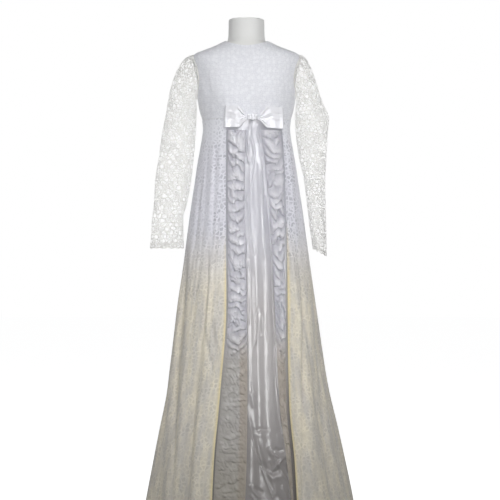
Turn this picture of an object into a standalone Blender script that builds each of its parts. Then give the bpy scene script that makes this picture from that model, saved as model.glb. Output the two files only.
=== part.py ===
"""A long-sleeved lace wedding dress of high-waisted cut, standing on a limbless dress form.

Metres, +Z up. The origin is on the floor under the middle of the form, the front of the dress
faces -Y and +X is to the right of someone who looks at the front. "Left" and "right" in the
names are that viewer's. Every cloth is a thin open surface given its thickness by Solidify,
worked out from the tables of sizes below by height above the floor and angle round the body.
"""

import math
from collections import namedtuple

import bpy
from mathutils import Vector

# Cloth thicknesses and the room between layers
BODICE_CLOTH = 0.0015
SATIN = 0.0012
LACE = 0.0012
RUFFLE_CLOTH = 0.0010
EASE = 0.0034
SEAM = 0.0003
RIM_LEAN = 0.0008
LAYER_GAP = 0.0013

# Heights above the floor
NECK_TOP = 1.550
NECKLINE_FRONT = 1.459
NECKLINE_SIDE = 1.480
NECKLINE_BACK = 1.474
SHOULDER_TIP = 1.438
UNDERARM = 1.305
EMPIRE_SEAM = 1.2365
UNDERSKIRT_HEM = 0.016
OVERSKIRT_HEM = 0.012
FORM_BOTTOM = 0.800

# The form's rings, closer together where the shoulders turn into the neck, have this many
# points, and its two ends a small rounded edge
FORM_COLUMNS = 24
FORM_LOW_RINGS = [0.850, 0.910, 0.985, 1.070, 1.150]
FORM_BUST_RINGS = [1.205, 1.240, 1.272, 1.303, 1.335, 1.365]
FORM_SHOULDER_RINGS = [1.395, 1.420, 1.434, 1.442, 1.450, 1.460, 1.471, 1.483, 1.505]
FORM_SHARP_ANGLE = math.radians(50)
FORM_EDGE = 0.004
FORM_EDGE_TRIM = 0.985

# The armhole's bite into the front and back panels, as angles round the body
ARMHOLE_FRONT = math.radians(20)
ARMHOLE_BACK = math.radians(17)
ARMHOLE_STEPS = 8

# The bodice's rows at the side seam, below the armhole and above it, and its columns
BODICE_LOW_ROWS = [1.256, 1.280]
BODICE_HIGH_ROWS = [1.449, 1.462, 1.472]
BODICE_FRONT_COLUMNS = 16
BODICE_BACK_COLUMNS = 8

# The cups of the bodice: two soft rises on a general figure
BUST_SPACING = 0.076
BUST_HEIGHT = 1.312
BUST_RISE = 0.017
BUST_WIDE = 0.046
BUST_TALL = 0.050

# The stand that carries the form
POLE_RADIUS = 0.014
BASE_RADIUS = 0.180
BASE_THICKNESS = 0.008
HUB_RADIUS = 0.028
HUB_TOP = 0.045
HUB_EDGE = 0.004
BASE_EDGE = 0.002
BASE_STEPS = 32
POLE_SIDES = 20

# The form's cross-sections: half width, depth to the front, depth to the back and squareness
Section = namedtuple("Section", "height half_width front back squareness")
BODY = [
    Section(0.800, 0.1580, 0.0980, 0.1080, 2.2),
    Section(0.860, 0.1620, 0.1000, 0.1140, 2.2),
    Section(0.920, 0.1560, 0.0970, 0.1060, 2.2),
    Section(1.000, 0.1350, 0.0890, 0.0850, 2.2),
    Section(1.080, 0.1170, 0.0840, 0.0720, 2.2),
    Section(1.160, 0.1215, 0.0890, 0.0790, 2.2),
    Section(1.230, 0.1305, 0.0950, 0.0880, 2.2),
    Section(1.270, 0.1420, 0.1010, 0.0940, 2.3),
    Section(1.310, 0.1480, 0.1040, 0.0980, 2.4),
    Section(1.360, 0.1540, 0.1010, 0.0990, 2.4),
    Section(1.400, 0.1620, 0.0940, 0.0950, 2.4),
    Section(1.425, 0.1650, 0.0860, 0.0890, 2.3),
    Section(1.438, 0.1600, 0.0800, 0.0840, 2.2),
    Section(1.448, 0.1380, 0.0750, 0.0790, 2.1),
    Section(1.460, 0.1060, 0.0690, 0.0720, 2.0),
    Section(1.472, 0.0800, 0.0640, 0.0660, 2.0),
    Section(1.482, 0.0605, 0.0605, 0.0615, 2.0),
    Section(1.500, 0.0565, 0.0570, 0.0570, 2.0),
    Section(1.550, 0.0555, 0.0550, 0.0550, 2.0),
]

# The underskirt's inner face, hanging from the empire seam
SKIRT = [
    Section(0.016, 0.3060, 0.2340, 0.3050, 2.2),
    Section(0.120, 0.2870, 0.2190, 0.2810, 2.2),
    Section(0.270, 0.2580, 0.1970, 0.2500, 2.2),
    Section(0.420, 0.2290, 0.1750, 0.2220, 2.2),
    Section(0.640, 0.2050, 0.1470, 0.1850, 2.2),
    Section(0.790, 0.1880, 0.1300, 0.1600, 2.2),
    Section(0.940, 0.1690, 0.1140, 0.1300, 2.2),
    Section(1.090, 0.1470, 0.1000, 0.1000, 2.2),
    Section(1.206, 0.1310, 0.0990, 0.0895, 2.2),
    Section(1.2365, 0.1345, 0.1010, 0.0920, 2.2),
]

# Where the pieces of the open front lie across it, by height: the edge of the left lace, the
# satin's two edges between the ruffles, and the edge of the right lace
Front = namedtuple("Front", "height lace_left satin_left satin_right lace_right")
FRONT = [
    Front(0.016, -0.100, -0.006, 0.138, 0.145),
    Front(0.060, -0.098, -0.004, 0.134, 0.141),
    Front(0.215, -0.091, 0.002, 0.117, 0.133),
    Front(0.370, -0.077, 0.004, 0.098, 0.120),
    Front(0.680, -0.056, 0.002, 0.083, 0.117),
    Front(0.990, -0.058, -0.004, 0.066, 0.113),
    Front(1.200, -0.057, 0.001, 0.044, 0.104),
    Front(1.2365, -0.055, 0.003, 0.040, 0.098),
]

# The satin front panel's columns: how far across, from one of the front's edges to another,
# and how far that line stands out of the panel at full height of the fold
Column = namedtuple("Column", "start end share rise")
SATIN_COLUMNS = [
    Column("lace_left", "satin_left", 0.0, 0.0),
    Column("lace_left", "satin_left", 0.5, 0.0),
    Column("satin_left", "satin_right", 0.0, 0.003),
    Column("satin_left", "satin_right", 0.12, 0.006),
    Column("satin_left", "satin_right", 0.35, 0.0),
    Column("satin_left", "satin_right", 0.62, 0.007),
    Column("satin_left", "satin_right", 0.76, 0.006),
    Column("satin_left", "satin_right", 1.0, -0.002),
    Column("satin_right", "lace_right", 0.5, 0.0),
    Column("satin_right", "lace_right", 1.0, 0.0),
]
SATIN_FOLD_TOP = 1.10
SATIN_FOLD_FULL = 0.60
SATIN_ROWS = 12

# The other gores' rows and columns. Rows of every skirt crowd towards the empire seam
GORE_ROWS = 10
GORE_COLUMNS = 6
ROW_CROWDING = 1.35

# The overskirt's soft folds: angle round the body in degrees from the middle of the front,
# towards +X, how far each stands out at the hem, its half width, and where it starts
Fold = namedtuple("Fold", "angle depth half_width top")
OVERSKIRT_FOLDS = [
    Fold(34, 0.010, 6, 1.05),
    Fold(52, 0.016, 7, 1.12),
    Fold(74, 0.013, 7, 0.95),
    Fold(94, 0.029, 9, 0.95),
    Fold(116, 0.015, 8, 1.00),
    Fold(139, 0.019, 8, 1.14),
    Fold(161, 0.016, 8, 1.05),
    Fold(-165, 0.018, 8, 1.14),
    Fold(-143, 0.015, 8, 1.00),
    Fold(-120, 0.019, 8, 1.10),
    Fold(-97, 0.010, 8, 0.98),
    Fold(-76, 0.013, 7, 1.12),
    Fold(-55, 0.012, 7, 0.90),
    Fold(-36, 0.014, 6, 1.05),
]
OVERSKIRT_STAND_OFF = 0.0040
OVERSKIRT_ROWS = 11
OVERSKIRT_RIGHT_COLUMNS = 11
OVERSKIRT_LEFT_COLUMNS = 12
OVERSKIRT_BACK_COLUMNS = 16
STAND_OFF_REACHED = 1.15
SIDE_SEAM = math.radians(90)
BACK_GORE_SEAM = math.radians(118)
FRONT_GORE_SEAM = math.radians(52)
FRONT_GORE_SEAM_AT_TOP = math.radians(69)
FRONT_GORE_STRAIGHT_BELOW = 0.80

# The ruffles beside the satin, gathered into swags
RUFFLE_TOP = 1.198
RUFFLE_SWAGS = 32
RUFFLE_SHARES = (0.0, 0.30, 0.70, 1.0)
RUFFLE_RISE = 0.011
SWAG_LOW = 0.1
SWAG_SAG = 0.007
SWAG_CREST = 0.35
RUFFLE_HEM = 0.022
RUFFLE_EDGE_GAP = 0.0008
LACE_EDGE_GAP = 0.0025

# The sleeves' outlines seen from the front, by height, with the middle and half of their depth
SleeveRow = namedtuple("SleeveRow", "height outer inner middle half_depth droop")
LEFT_SLEEVE = [
    SleeveRow(1.275, -0.2475, -0.1550, -0.002, 0.046, 0.000),
    SleeveRow(1.200, -0.2620, -0.1575, -0.004, 0.038, 0.000),
    SleeveRow(1.125, -0.2725, -0.1640, -0.006, 0.031, 0.000),
    SleeveRow(1.050, -0.2840, -0.1720, -0.008, 0.027, 0.000),
    SleeveRow(0.975, -0.2880, -0.1860, -0.010, 0.026, 0.000),
    SleeveRow(0.935, -0.2930, -0.1965, -0.011, 0.026, 0.000),
    SleeveRow(0.885, -0.2960, -0.1960, -0.012, 0.028, 0.000),
    SleeveRow(0.838, -0.3000, -0.1940, -0.012, 0.031, 0.000),
]
RIGHT_SLEEVE = [
    SleeveRow(1.275, 0.2450, 0.1530, 0.000, 0.046, 0.000),
    SleeveRow(1.246, 0.2570, 0.1510, 0.000, 0.044, 0.000),
    SleeveRow(1.190, 0.2525, 0.1540, -0.002, 0.040, 0.000),
    SleeveRow(1.125, 0.2490, 0.1630, -0.004, 0.039, 0.000),
    SleeveRow(1.050, 0.2450, 0.1790, -0.006, 0.041, 0.000),
    SleeveRow(0.975, 0.2460, 0.1880, -0.008, 0.043, 0.002),
    SleeveRow(0.902, 0.2475, 0.1960, -0.010, 0.043, 0.006),
    SleeveRow(0.826, 0.2490, 0.2060, -0.010, 0.042, 0.012),
]
SLEEVE_HALF_COLUMNS = 8

# How a sleeve's head leaves the armhole and comes down: its pull outwards at the shoulder, the
# slant and the pull with which it arrives at the hanging part. Under the arm both pulls are small
Cap = namedtuple("Cap", "pull_out slant pull_down")
LEFT_CAP = Cap(0.140, 0.020, 0.190)
RIGHT_CAP = Cap(0.115, 0.075, 0.150)
CAP_SHARE = 0.26
CAP_OUT_UNDERARM = 0.020
CAP_DOWN_UNDERARM = 0.030
LACE_HOLE_ROWS = 15
LACE_HOLES_HEAD = 0.055
LACE_HOLES_FOOT = 0.985
SLEEVE_SEAM = 0.0007
LACE_HOLE_SHARE = 0.36
LACE_HOLE_NARROWING = 0.25

# The satin bow at the empire seam. A loop's back layer lies flat but for a puff at the knot, its
# fold stands at the loop's end, and its front layer swells from the knot and is gathered there
BOW_MIDDLE = 0.018
BOW_HEIGHT = 1.2375
KNOT_WIDTH = 0.030
KNOT_TALL = 0.020
KNOT_DEEP = 0.016
KNOT_FOOT = 0.86
KNOT_EDGE = 0.006
KNOT_EDGE_STEPS = 3
LOOP_TALL = 0.064
LOOP_NECK = 0.016
LOOP_RISE = 0.015
LOOP_BACK = 0.0010
LOOP_BACK_PUFF = 0.0060
LOOP_FRONT = 0.0085
LOOP_FOLD = 0.94
LOOP_FOLD_POINTS = (0.22, 0.62)
LOOP_STEPS = 7
LOOP_WIDTHS = (-1.0, -0.6, -0.2, 0.2, 0.6, 1.0)
LOOP_OPENS_BY = 0.42
LOOP_PUFF_END = 0.40
LOOP_SWELLS_BY = 0.35
LOOP_FLAT_SWELL = 0.55
LOOP_CREST = 1.1
GATHER = 0.0016
GATHER_TURNS = 7.0
GATHER_END = 0.5
LEFT_LOOP_END = -0.066
RIGHT_LOOP_END = 0.113
LOOP_TILT = 0.004
BOW_BACK = -0.1042
BOW_SWEEP_LEFT = 0.9
BOW_SWEEP_RIGHT = 2.4
BOW_LEAN = 0.225

# The lap that covers the fastening down the middle of the back
LAP_WIDTH = 0.026
LAP_FOOT = 0.98

COLLECTION = "wedding_dress_on_dress_form"
# Each cloth's or other material's colour, roughness and metallic value
Coat = namedtuple("Coat", "colour roughness metallic")
COATS = {
    "form_white": Coat((0.86, 0.86, 0.85, 1.0), 0.60, 0.0),
    "stand_steel": Coat((0.60, 0.61, 0.62, 1.0), 0.35, 1.0),
    "lace_on_lining": Coat((0.90, 0.90, 0.88, 1.0), 0.80, 0.0),
    "sleeve_lace": Coat((0.90, 0.90, 0.88, 1.0), 0.85, 0.0),
    "lace": Coat((0.86, 0.83, 0.74, 1.0), 0.85, 0.0),
    "lining": Coat((0.85, 0.80, 0.64, 1.0), 0.50, 0.0),
    "satin": Coat((0.88, 0.88, 0.91, 1.0), 0.25, 0.0),
    "organza": Coat((0.84, 0.83, 0.86, 1.0), 0.45, 0.0),
}

# How far apart two points of a surface are taken to find the way that it faces
FACING_TURN = 0.004
FACING_RISE = 0.0008
MERGE_DISTANCE = 0.0001


def material(name):
    """A Principled material, made once and shared by the pieces of one cloth."""
    found = bpy.data.materials.get(name)
    if found:
        return found
    coat = COATS[name]
    made = bpy.data.materials.new(name)
    made.use_nodes = True
    shader = made.node_tree.nodes["Principled BSDF"]
    shader.inputs["Base Color"].default_value = coat.colour
    shader.inputs["Roughness"].default_value = coat.roughness
    shader.inputs["Metallic"].default_value = coat.metallic
    made.diffuse_color = coat.colour
    return made


def along(rows, column, height):
    """A named column of a table at any height, on a curve that never overshoots its rows."""
    heights = [row.height for row in rows]
    values = [getattr(row, column) for row in rows]
    if heights[0] > heights[-1]:
        heights.reverse()
        values.reverse()
    if height <= heights[0]:
        return values[0]
    if height >= heights[-1]:
        return values[-1]
    k = max(i for i, h in enumerate(heights) if h <= height)
    steps = [b - a for a, b in zip(heights, heights[1:])]
    slopes = [(b - a) / s for a, b, s in zip(values, values[1:], steps)]

    def tangent(i):
        if i == 0 or i == len(values) - 1:
            return slopes[min(i, len(slopes) - 1)]
        before, after = slopes[i - 1], slopes[i]
        if before * after <= 0:
            return 0.0
        return 2 * before * after / (before + after)

    t = (height - heights[k]) / steps[k]
    return (
        (1 + 2 * t) * (1 - t) ** 2 * values[k]
        + t * (1 - t) ** 2 * steps[k] * tangent(k)
        + t * t * (3 - 2 * t) * values[k + 1]
        + t * t * (t - 1) * steps[k] * tangent(k + 1)
    )


def smooth_step(low, high, value):
    """0 below low, 1 above high, and smooth between; low may be the larger."""
    t = min(1.0, max(0.0, (value - low) / (high - low)))
    return t * t * (3 - 2 * t)


def section_radius(rows, angle, height):
    """How far the section at a height reaches from its middle, at an angle from the front."""
    across = abs(math.sin(angle)) / along(rows, "half_width", height)
    side = "front" if math.cos(angle) > 0 else "back"
    deep = abs(math.cos(angle)) / along(rows, side, height)
    power = along(rows, "squareness", height)
    return (across**power + deep**power) ** (-1 / power)


def ring_point(rows, angle, height):
    reach = section_radius(rows, angle, height)
    return Vector((reach * math.sin(angle), -reach * math.cos(angle), height))


def body_point(angle, height):
    """The form's own surface, with the rises of the bust."""
    point = ring_point(BODY, angle, height)
    if math.cos(angle) > 0:
        for middle in (-BUST_SPACING, BUST_SPACING):
            across = (point.x - middle) / BUST_WIDE
            up = (height - BUST_HEIGHT) / BUST_TALL
            point.y -= BUST_RISE * math.cos(angle) * math.exp(-across * across - up * up)
    return point


def moved_out(surface, angle, height, distance):
    """A point of a surface moved out of it, square to the surface."""
    across = surface(angle + FACING_TURN, height) - surface(angle - FACING_TURN, height)
    up = surface(angle, height + FACING_RISE) - surface(angle, height - FACING_RISE)
    return surface(angle, height) + across.cross(up).normalized() * distance


def angle_across(rows, x, height):
    """The angle at which a line x to the side of the middle meets the front of a section."""
    half_width = along(rows, "half_width", height)
    power = along(rows, "squareness", height)
    depth = along(rows, "front", height)
    share = min(0.999, abs(x) / half_width)
    y = depth * (1 - share**power) ** (1 / power)
    return math.atan2(x, y)


def add_object(name, mesh, coat):
    mesh.materials.append(coat)
    piece = bpy.data.objects.new(name, mesh)
    bpy.data.collections[COLLECTION].objects.link(piece)
    return piece


def cloth(name, rows, thickness, coat, grow=1, holes=None):
    """A wall of cloth through rows of points, with any cells that are gaps in the lace left out."""
    columns = len(rows[0])
    points = [tuple(point) for row in rows for point in row]
    faces = []
    for r in range(len(rows) - 1):
        for c in range(columns - 1):
            if holes and holes(r, c):
                continue
            low, high = r * columns + c, (r + 1) * columns + c
            faces.append((low, low + 1, high + 1, high))
    mesh = bpy.data.meshes.new(name)
    mesh.from_pydata(points, [], faces)
    mesh.shade_smooth()
    piece = add_object(name, mesh, coat)
    wall = piece.modifiers.new("cloth", "SOLIDIFY")
    wall.thickness = thickness
    wall.offset = grow
    return piece


# The dress form and its stand


def build_form():
    """The limbless form: hips, waist, bust, shoulders and a flat-topped neck in one body."""
    columns = FORM_COLUMNS
    heights = [FORM_BOTTOM, FORM_BOTTOM + FORM_EDGE]
    heights += FORM_LOW_RINGS + FORM_BUST_RINGS + FORM_SHOULDER_RINGS
    heights += [NECK_TOP - FORM_EDGE, NECK_TOP]
    points = []
    for height in heights:
        trim = FORM_EDGE_TRIM if height in (FORM_BOTTOM, NECK_TOP) else 1.0
        for c in range(columns):
            point = body_point(2 * math.pi * c / columns, height)
            points.append((point.x * trim, point.y * trim, height))
    faces = [tuple(reversed(range(columns)))]
    for r in range(len(heights) - 1):
        for c in range(columns):
            d = (c + 1) % columns
            low, high = r * columns, (r + 1) * columns
            faces.append((low + c, low + d, high + d, high + c))
    faces.append(tuple(range(len(points) - columns, len(points))))
    mesh = bpy.data.meshes.new("form_torso")
    mesh.from_pydata(points, [], faces)
    mesh.shade_smooth()
    mesh.set_sharp_from_angle(angle=FORM_SHARP_ANGLE)
    add_object("form_torso", mesh, material("form_white"))


def build_stand():
    """A round base plate with a hub, and the pole that carries the form."""
    steel = material("stand_steel")
    profile = [
        (0.0, HUB_TOP),
        (HUB_RADIUS - HUB_EDGE, HUB_TOP),
        (HUB_RADIUS, HUB_TOP - HUB_EDGE),
        (HUB_RADIUS, BASE_THICKNESS + HUB_EDGE),
        (HUB_RADIUS + HUB_EDGE, BASE_THICKNESS),
        (BASE_RADIUS - BASE_EDGE, BASE_THICKNESS),
        (BASE_RADIUS, BASE_THICKNESS - BASE_EDGE),
        (BASE_RADIUS, 0.0),
        (0.0, 0.0),
    ]
    mesh = bpy.data.meshes.new("stand_base")
    edges = [(i, i + 1) for i in range(len(profile) - 1)]
    mesh.from_pydata([(x, 0, z) for x, z in profile], edges, [])
    base = add_object("stand_base", mesh, steel)
    turn = base.modifiers.new("turned", "SCREW")
    turn.steps = turn.render_steps = BASE_STEPS
    turn.use_merge_vertices = True
    turn.merge_threshold = MERGE_DISTANCE

    foot = HUB_TOP + SEAM
    length = FORM_BOTTOM - SEAM - foot
    bpy.ops.mesh.primitive_cylinder_add(
        vertices=POLE_SIDES, radius=POLE_RADIUS, depth=length, location=(0, 0, foot + length / 2)
    )
    pole = bpy.context.object
    pole.name = pole.data.name = "stand_pole"
    pole.data.materials.append(steel)
    for holder in list(pole.users_collection):
        holder.objects.unlink(pole)
    bpy.data.collections[COLLECTION].objects.link(pole)


# The bodice


def neckline(angle):
    """Height of the round neck's edge: lowest at the front, highest on the shoulders."""
    middle = NECKLINE_FRONT if math.cos(angle) > 0 else NECKLINE_BACK
    return middle + (NECKLINE_SIDE - middle) * math.sin(angle) ** 2


def armhole(turn):
    """A point of the armhole as an angle and a height, from the shoulder tip round the front."""
    bite = ARMHOLE_FRONT if math.sin(turn) > 0 else ARMHOLE_BACK
    height = UNDERARM + (SHOULDER_TIP - UNDERARM) * (1 + math.cos(turn)) / 2
    return bite * abs(math.sin(turn)), height


def bodice_rows():
    """Row heights at the side seam, each with the turn round the armhole where it meets one."""
    below = [(height, None) for height in [EMPIRE_SEAM + SEAM + RIM_LEAN] + BODICE_LOW_ROWS]
    notch = []
    for k in range(ARMHOLE_STEPS + 1):
        turn = math.pi * (1 - k / ARMHOLE_STEPS)
        notch.append((armhole(turn)[1], turn))
    above = [(height, None) for height in BODICE_HIGH_ROWS + [NECKLINE_SIDE]]
    return below + notch + above


def bodice_height(angle, side_height):
    """A row's height at an angle, so that the top row follows the neckline."""
    share = (side_height - EMPIRE_SEAM) / (NECKLINE_SIDE - EMPIRE_SEAM)
    return EMPIRE_SEAM + share * (neckline(angle) - EMPIRE_SEAM)


def side_limit(height, turn, front):
    """The angle at which a panel ends at the side: the seam, or the armhole where it bites."""
    bite = 0.0
    if turn is not None:
        bite = armhole(turn if front else -turn)[0]
    reach = section_radius(BODY, SIDE_SEAM, height)
    seam = SEAM / 2 / reach
    return math.pi / 2 - bite - seam if front else math.pi / 2 + bite + seam


def bodice_panel(name, columns, start, coat):
    """Rows of one panel; start gives the panel's two edges, as angles, for a row."""
    rows = []
    for side_height, turn in bodice_rows():
        first, last = start(side_height, turn)
        row = []
        for c in range(columns + 1):
            angle = first + (last - first) * c / columns
            height = bodice_height(angle, side_height)
            row.append(moved_out(body_point, angle, height, EASE))
        rows.append(row)
    return cloth(name, rows, BODICE_CLOTH, coat)


def back_seam_angle(height):
    """Half the seam gap at the middle of the back, as an angle."""
    return SEAM / 2 / section_radius(BODY, math.pi, height)


def build_bodice():
    """Front, and two backs that meet at the fastening, each lace sewn onto its lining."""
    lace = material("lace_on_lining")

    def front(height, turn):
        limit = side_limit(height, turn, True)
        return -limit, limit

    def back_right(height, turn):
        return side_limit(height, turn, False), math.pi - back_seam_angle(height)

    def back_left(height, turn):
        return math.pi + back_seam_angle(height), 2 * math.pi - side_limit(height, turn, False)

    bodice_panel("bodice_front", BODICE_FRONT_COLUMNS, front, lace)
    bodice_panel("bodice_back_right", BODICE_BACK_COLUMNS, back_right, lace)
    bodice_panel("bodice_back_left", BODICE_BACK_COLUMNS, back_left, lace)


# The skirts


def front_gore_seam(height):
    """The angle of the seam between the satin front and the side gores, wider at the top."""
    widening = smooth_step(FRONT_GORE_STRAIGHT_BELOW, EMPIRE_SEAM, height)
    return FRONT_GORE_SEAM + (FRONT_GORE_SEAM_AT_TOP - FRONT_GORE_SEAM) * widening


def satin_fold_share(height):
    return smooth_step(SATIN_FOLD_TOP, SATIN_FOLD_FULL, height)


def front_column(column, height):
    """Where a column of the satin panel lies across the front, and how far it stands out."""
    start = along(FRONT, column.start, height)
    end = along(FRONT, column.end, height)
    angle = angle_across(SKIRT, start + (end - start) * column.share, height)
    return angle, column.rise * satin_fold_share(height)


def satin_rise(angle, height):
    """How far the satin's soft pleats stand out of the underskirt at any angle."""
    seam = front_gore_seam(height)
    known = [(-seam, 0.0)]
    known += [front_column(column, height) for column in SATIN_COLUMNS]
    known.append((seam, 0.0))
    for (a, low), (b, high) in zip(known, known[1:]):
        if a <= angle <= b:
            return low + (high - low) * (angle - a) / (b - a)
    return 0.0


def underskirt_point(angle, height):
    """The underskirt's inner face without its pleats."""
    return ring_point(SKIRT, angle, height)


def skirt_heights(hem, steps):
    """Heights from the hem to the empire seam, closer together near the seam."""
    top = EMPIRE_SEAM - SEAM - RIM_LEAN
    return [hem + (top - hem) * (1 - (1 - r / steps) ** ROW_CROWDING) for r in range(steps + 1)]


def underskirt_gore(name, edges, coat):
    """One gore of the underskirt, kept off its neighbours; edges gives its angles at a height."""
    rows = []
    for height in skirt_heights(UNDERSKIRT_HEM, GORE_ROWS):
        gap = SEAM / along(SKIRT, "front", height)
        start, end = edges(height)
        row = []
        for c in range(GORE_COLUMNS + 1):
            angle = start + gap + (end - start - 2 * gap) * c / GORE_COLUMNS
            row.append(underskirt_point(angle, height))
        rows.append(row)
    return cloth(name, rows, SATIN, coat)


def build_underskirt():
    """A satin front panel with its pleats, two side gores and two back gores."""
    satin = material("satin")
    lining = material("lining")
    rows = []
    for height in skirt_heights(UNDERSKIRT_HEM, SATIN_ROWS):
        gap = SEAM / along(SKIRT, "front", height)
        seam = front_gore_seam(height) - 2 * gap
        columns = [front_column(column, height) for column in SATIN_COLUMNS]
        between = (columns[0][0] - seam) / 2
        columns = [(-seam, 0.0), (between, 0.0)] + columns + [(seam, 0.0)]
        rows.append([moved_out(underskirt_point, a, height, rise) for a, rise in columns])
    cloth("underskirt_front", rows, SATIN, satin)

    def side_right(height):
        return front_gore_seam(height), BACK_GORE_SEAM

    def back_right(height):
        return BACK_GORE_SEAM, math.pi

    def back_left(height):
        return math.pi, 2 * math.pi - BACK_GORE_SEAM

    def side_left(height):
        return -BACK_GORE_SEAM, -front_gore_seam(height)

    underskirt_gore("underskirt_side_right", side_right, lining)
    underskirt_gore("underskirt_back_right", back_right, lining)
    underskirt_gore("underskirt_back_left", back_left, lining)
    underskirt_gore("underskirt_side_left", side_left, lining)


def fold_depth(angle, height):
    """How far the overskirt's folds stand out at an angle."""
    degrees = math.degrees(angle)
    depth = 0.0
    for fold in OVERSKIRT_FOLDS:
        away = (degrees - fold.angle + 180) % 360 - 180
        grown = smooth_step(fold.top, OVERSKIRT_HEM, height)
        depth += fold.depth * grown * math.exp(-((away / fold.half_width) ** 2))
    return depth


def overskirt_point(angle, height):
    """The lace overskirt's inner face: outside the satin, with its own folds."""
    full = smooth_step(EMPIRE_SEAM, STAND_OFF_REACHED, height)
    stand_off = SATIN + LAYER_GAP + OVERSKIRT_STAND_OFF * full
    reach = section_radius(SKIRT, angle, height) + stand_off + fold_depth(angle, height)
    return Vector((reach * math.sin(angle), -reach * math.cos(angle), height))


def overskirt_panel(name, columns, edges, coat):
    """One panel of the overskirt; edges gives its two angles at a height."""
    rows = []
    for height in skirt_heights(OVERSKIRT_HEM, OVERSKIRT_ROWS):
        first, last = edges(height)
        row = []
        for c in range(columns + 1):
            angle = first + (last - first) * c / columns
            row.append(overskirt_point(angle, height))
        rows.append(row)
    return cloth(name, rows, LACE, coat)


def lace_edge(side, height):
    """The angle of an overskirt front's free edge, just clear of the ruffle beside it."""
    x = along(FRONT, side, height)
    return angle_across(SKIRT, x + math.copysign(LACE_EDGE_GAP, x), height)


def build_overskirt():
    """Two lace fronts that leave the satin bare, and two backs that meet at the fastening."""
    lace = material("lace")

    def gap(height):
        return SEAM / along(SKIRT, "front", height)

    def front_right(height):
        return lace_edge("lace_right", height), SIDE_SEAM - gap(height)

    def front_left(height):
        return -SIDE_SEAM + gap(height), lace_edge("lace_left", height)

    def back_right(height):
        return SIDE_SEAM + gap(height), math.pi - gap(height)

    def back_left(height):
        return math.pi + gap(height), 2 * math.pi - SIDE_SEAM - gap(height)

    overskirt_panel("overskirt_front_right", OVERSKIRT_RIGHT_COLUMNS, front_right, lace)
    overskirt_panel("overskirt_front_left", OVERSKIRT_LEFT_COLUMNS, front_left, lace)
    overskirt_panel("overskirt_back_right", OVERSKIRT_BACK_COLUMNS, back_right, lace)
    overskirt_panel("overskirt_back_left", OVERSKIRT_BACK_COLUMNS, back_left, lace)


# The ruffles


def ruffle(name, outer, inner, coat):
    """A strip gathered into swags beside the satin; outer and inner name the front's edges."""
    levels = [RUFFLE_HEM]
    swag = (RUFFLE_TOP - RUFFLE_HEM) / RUFFLE_SWAGS
    for k in range(RUFFLE_SWAGS):
        levels += [RUFFLE_HEM + swag * (k + SWAG_CREST), RUFFLE_HEM + swag * (k + 1)]
    rows = []
    for r, middle in enumerate(levels):
        crest = r % 2
        sag = SWAG_SAG * smooth_step(RUFFLE_TOP, RUFFLE_TOP - 2 * swag, middle)
        row = []
        for share in RUFFLE_SHARES:
            bulge = 1 - (2 * share - 1) ** 2
            height = middle + sag * (1 - bulge)
            start = along(FRONT, outer, height)
            end = along(FRONT, inner, height)
            gap = math.copysign(RUFFLE_EDGE_GAP, end - start)
            x = start + gap + (end - start - 2 * gap) * share
            angle = angle_across(SKIRT, x, height)
            out = satin_rise(angle, height) + SATIN + LAYER_GAP
            lift = RUFFLE_RISE * bulge * (1.0 if crest else SWAG_LOW)
            row.append(moved_out(underskirt_point, angle, height, out + lift))
        rows.append(row)
    if outer == "lace_right":
        rows = [list(reversed(row)) for row in rows]
    return cloth(name, rows, RUFFLE_CLOTH, coat)


def build_ruffles():
    organza = material("organza")
    ruffle("ruffle_left", "lace_left", "satin_left", organza)
    ruffle("ruffle_right", "lace_right", "satin_right", organza)


# The sleeves


def armhole_point(side, turn):
    """The sleeve's first ring: the armhole's edge, a seam's gap outside the bodice."""
    bite, height = armhole(turn)
    front = math.sin(turn) >= 0
    angle = side * (math.pi / 2 - bite if front else math.pi / 2 + bite)
    height = bodice_height(angle, height)
    return moved_out(body_point, angle, height, EASE + BODICE_CLOTH + 3 * SEAM)


def sleeve_ring_point(side, table, turn, height):
    """A level ring of the hanging sleeve, its outer edge drooping by the table's amount."""
    outer = along(table, "outer", height)
    inner = along(table, "inner", height)
    middle = along(table, "middle", height)
    deep = along(table, "half_depth", height)
    half_width = abs(outer - inner) / 2
    x = (outer + inner) / 2 + side * half_width * math.cos(turn)
    y = middle - deep * math.sin(turn)
    droop = along(table, "droop", height) * math.cos(turn)
    return Vector((x, y, height - droop))


def sleeve_point(side, table, turn, share):
    """A point of the sleeve's outer face: the cap bends out of the armhole, then it hangs."""
    top, cuff = table[0].height, table[-1].height
    if share > CAP_SHARE:
        height = top + (cuff - top) * (share - CAP_SHARE) / (1 - CAP_SHARE)
        return sleeve_ring_point(side, table, turn, height)
    t = share / CAP_SHARE
    upper = (1 + math.cos(turn)) / 2
    start = armhole_point(side, turn)
    end = sleeve_ring_point(side, table, turn, top)
    cap = LEFT_CAP if side < 0 else RIGHT_CAP
    pull_out = CAP_OUT_UNDERARM + (cap.pull_out - CAP_OUT_UNDERARM) * upper
    pull_down = CAP_DOWN_UNDERARM + (cap.pull_down - CAP_DOWN_UNDERARM) * upper
    out = Vector((side * pull_out, 0, 0))
    down = Vector((side * cap.slant * upper, 0, -pull_down))
    return (
        (1 + 2 * t) * (1 - t) ** 2 * start
        + t * (1 - t) ** 2 * out
        + t * t * (3 - 2 * t) * end
        + t * t * (t - 1) * down
    )


def sleeve_shares():
    """Shares down the sleeve: a plain head, then rows of gaps between bars, then the cuff."""
    shares = [0.0]
    pitch = (LACE_HOLES_FOOT - LACE_HOLES_HEAD) / LACE_HOLE_ROWS
    for row in range(LACE_HOLE_ROWS):
        top = LACE_HOLES_HEAD + pitch * (row + (1 - LACE_HOLE_SHARE) / 2)
        shares += [top, top + pitch * LACE_HOLE_SHARE]
    return shares + [1.0]


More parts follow.
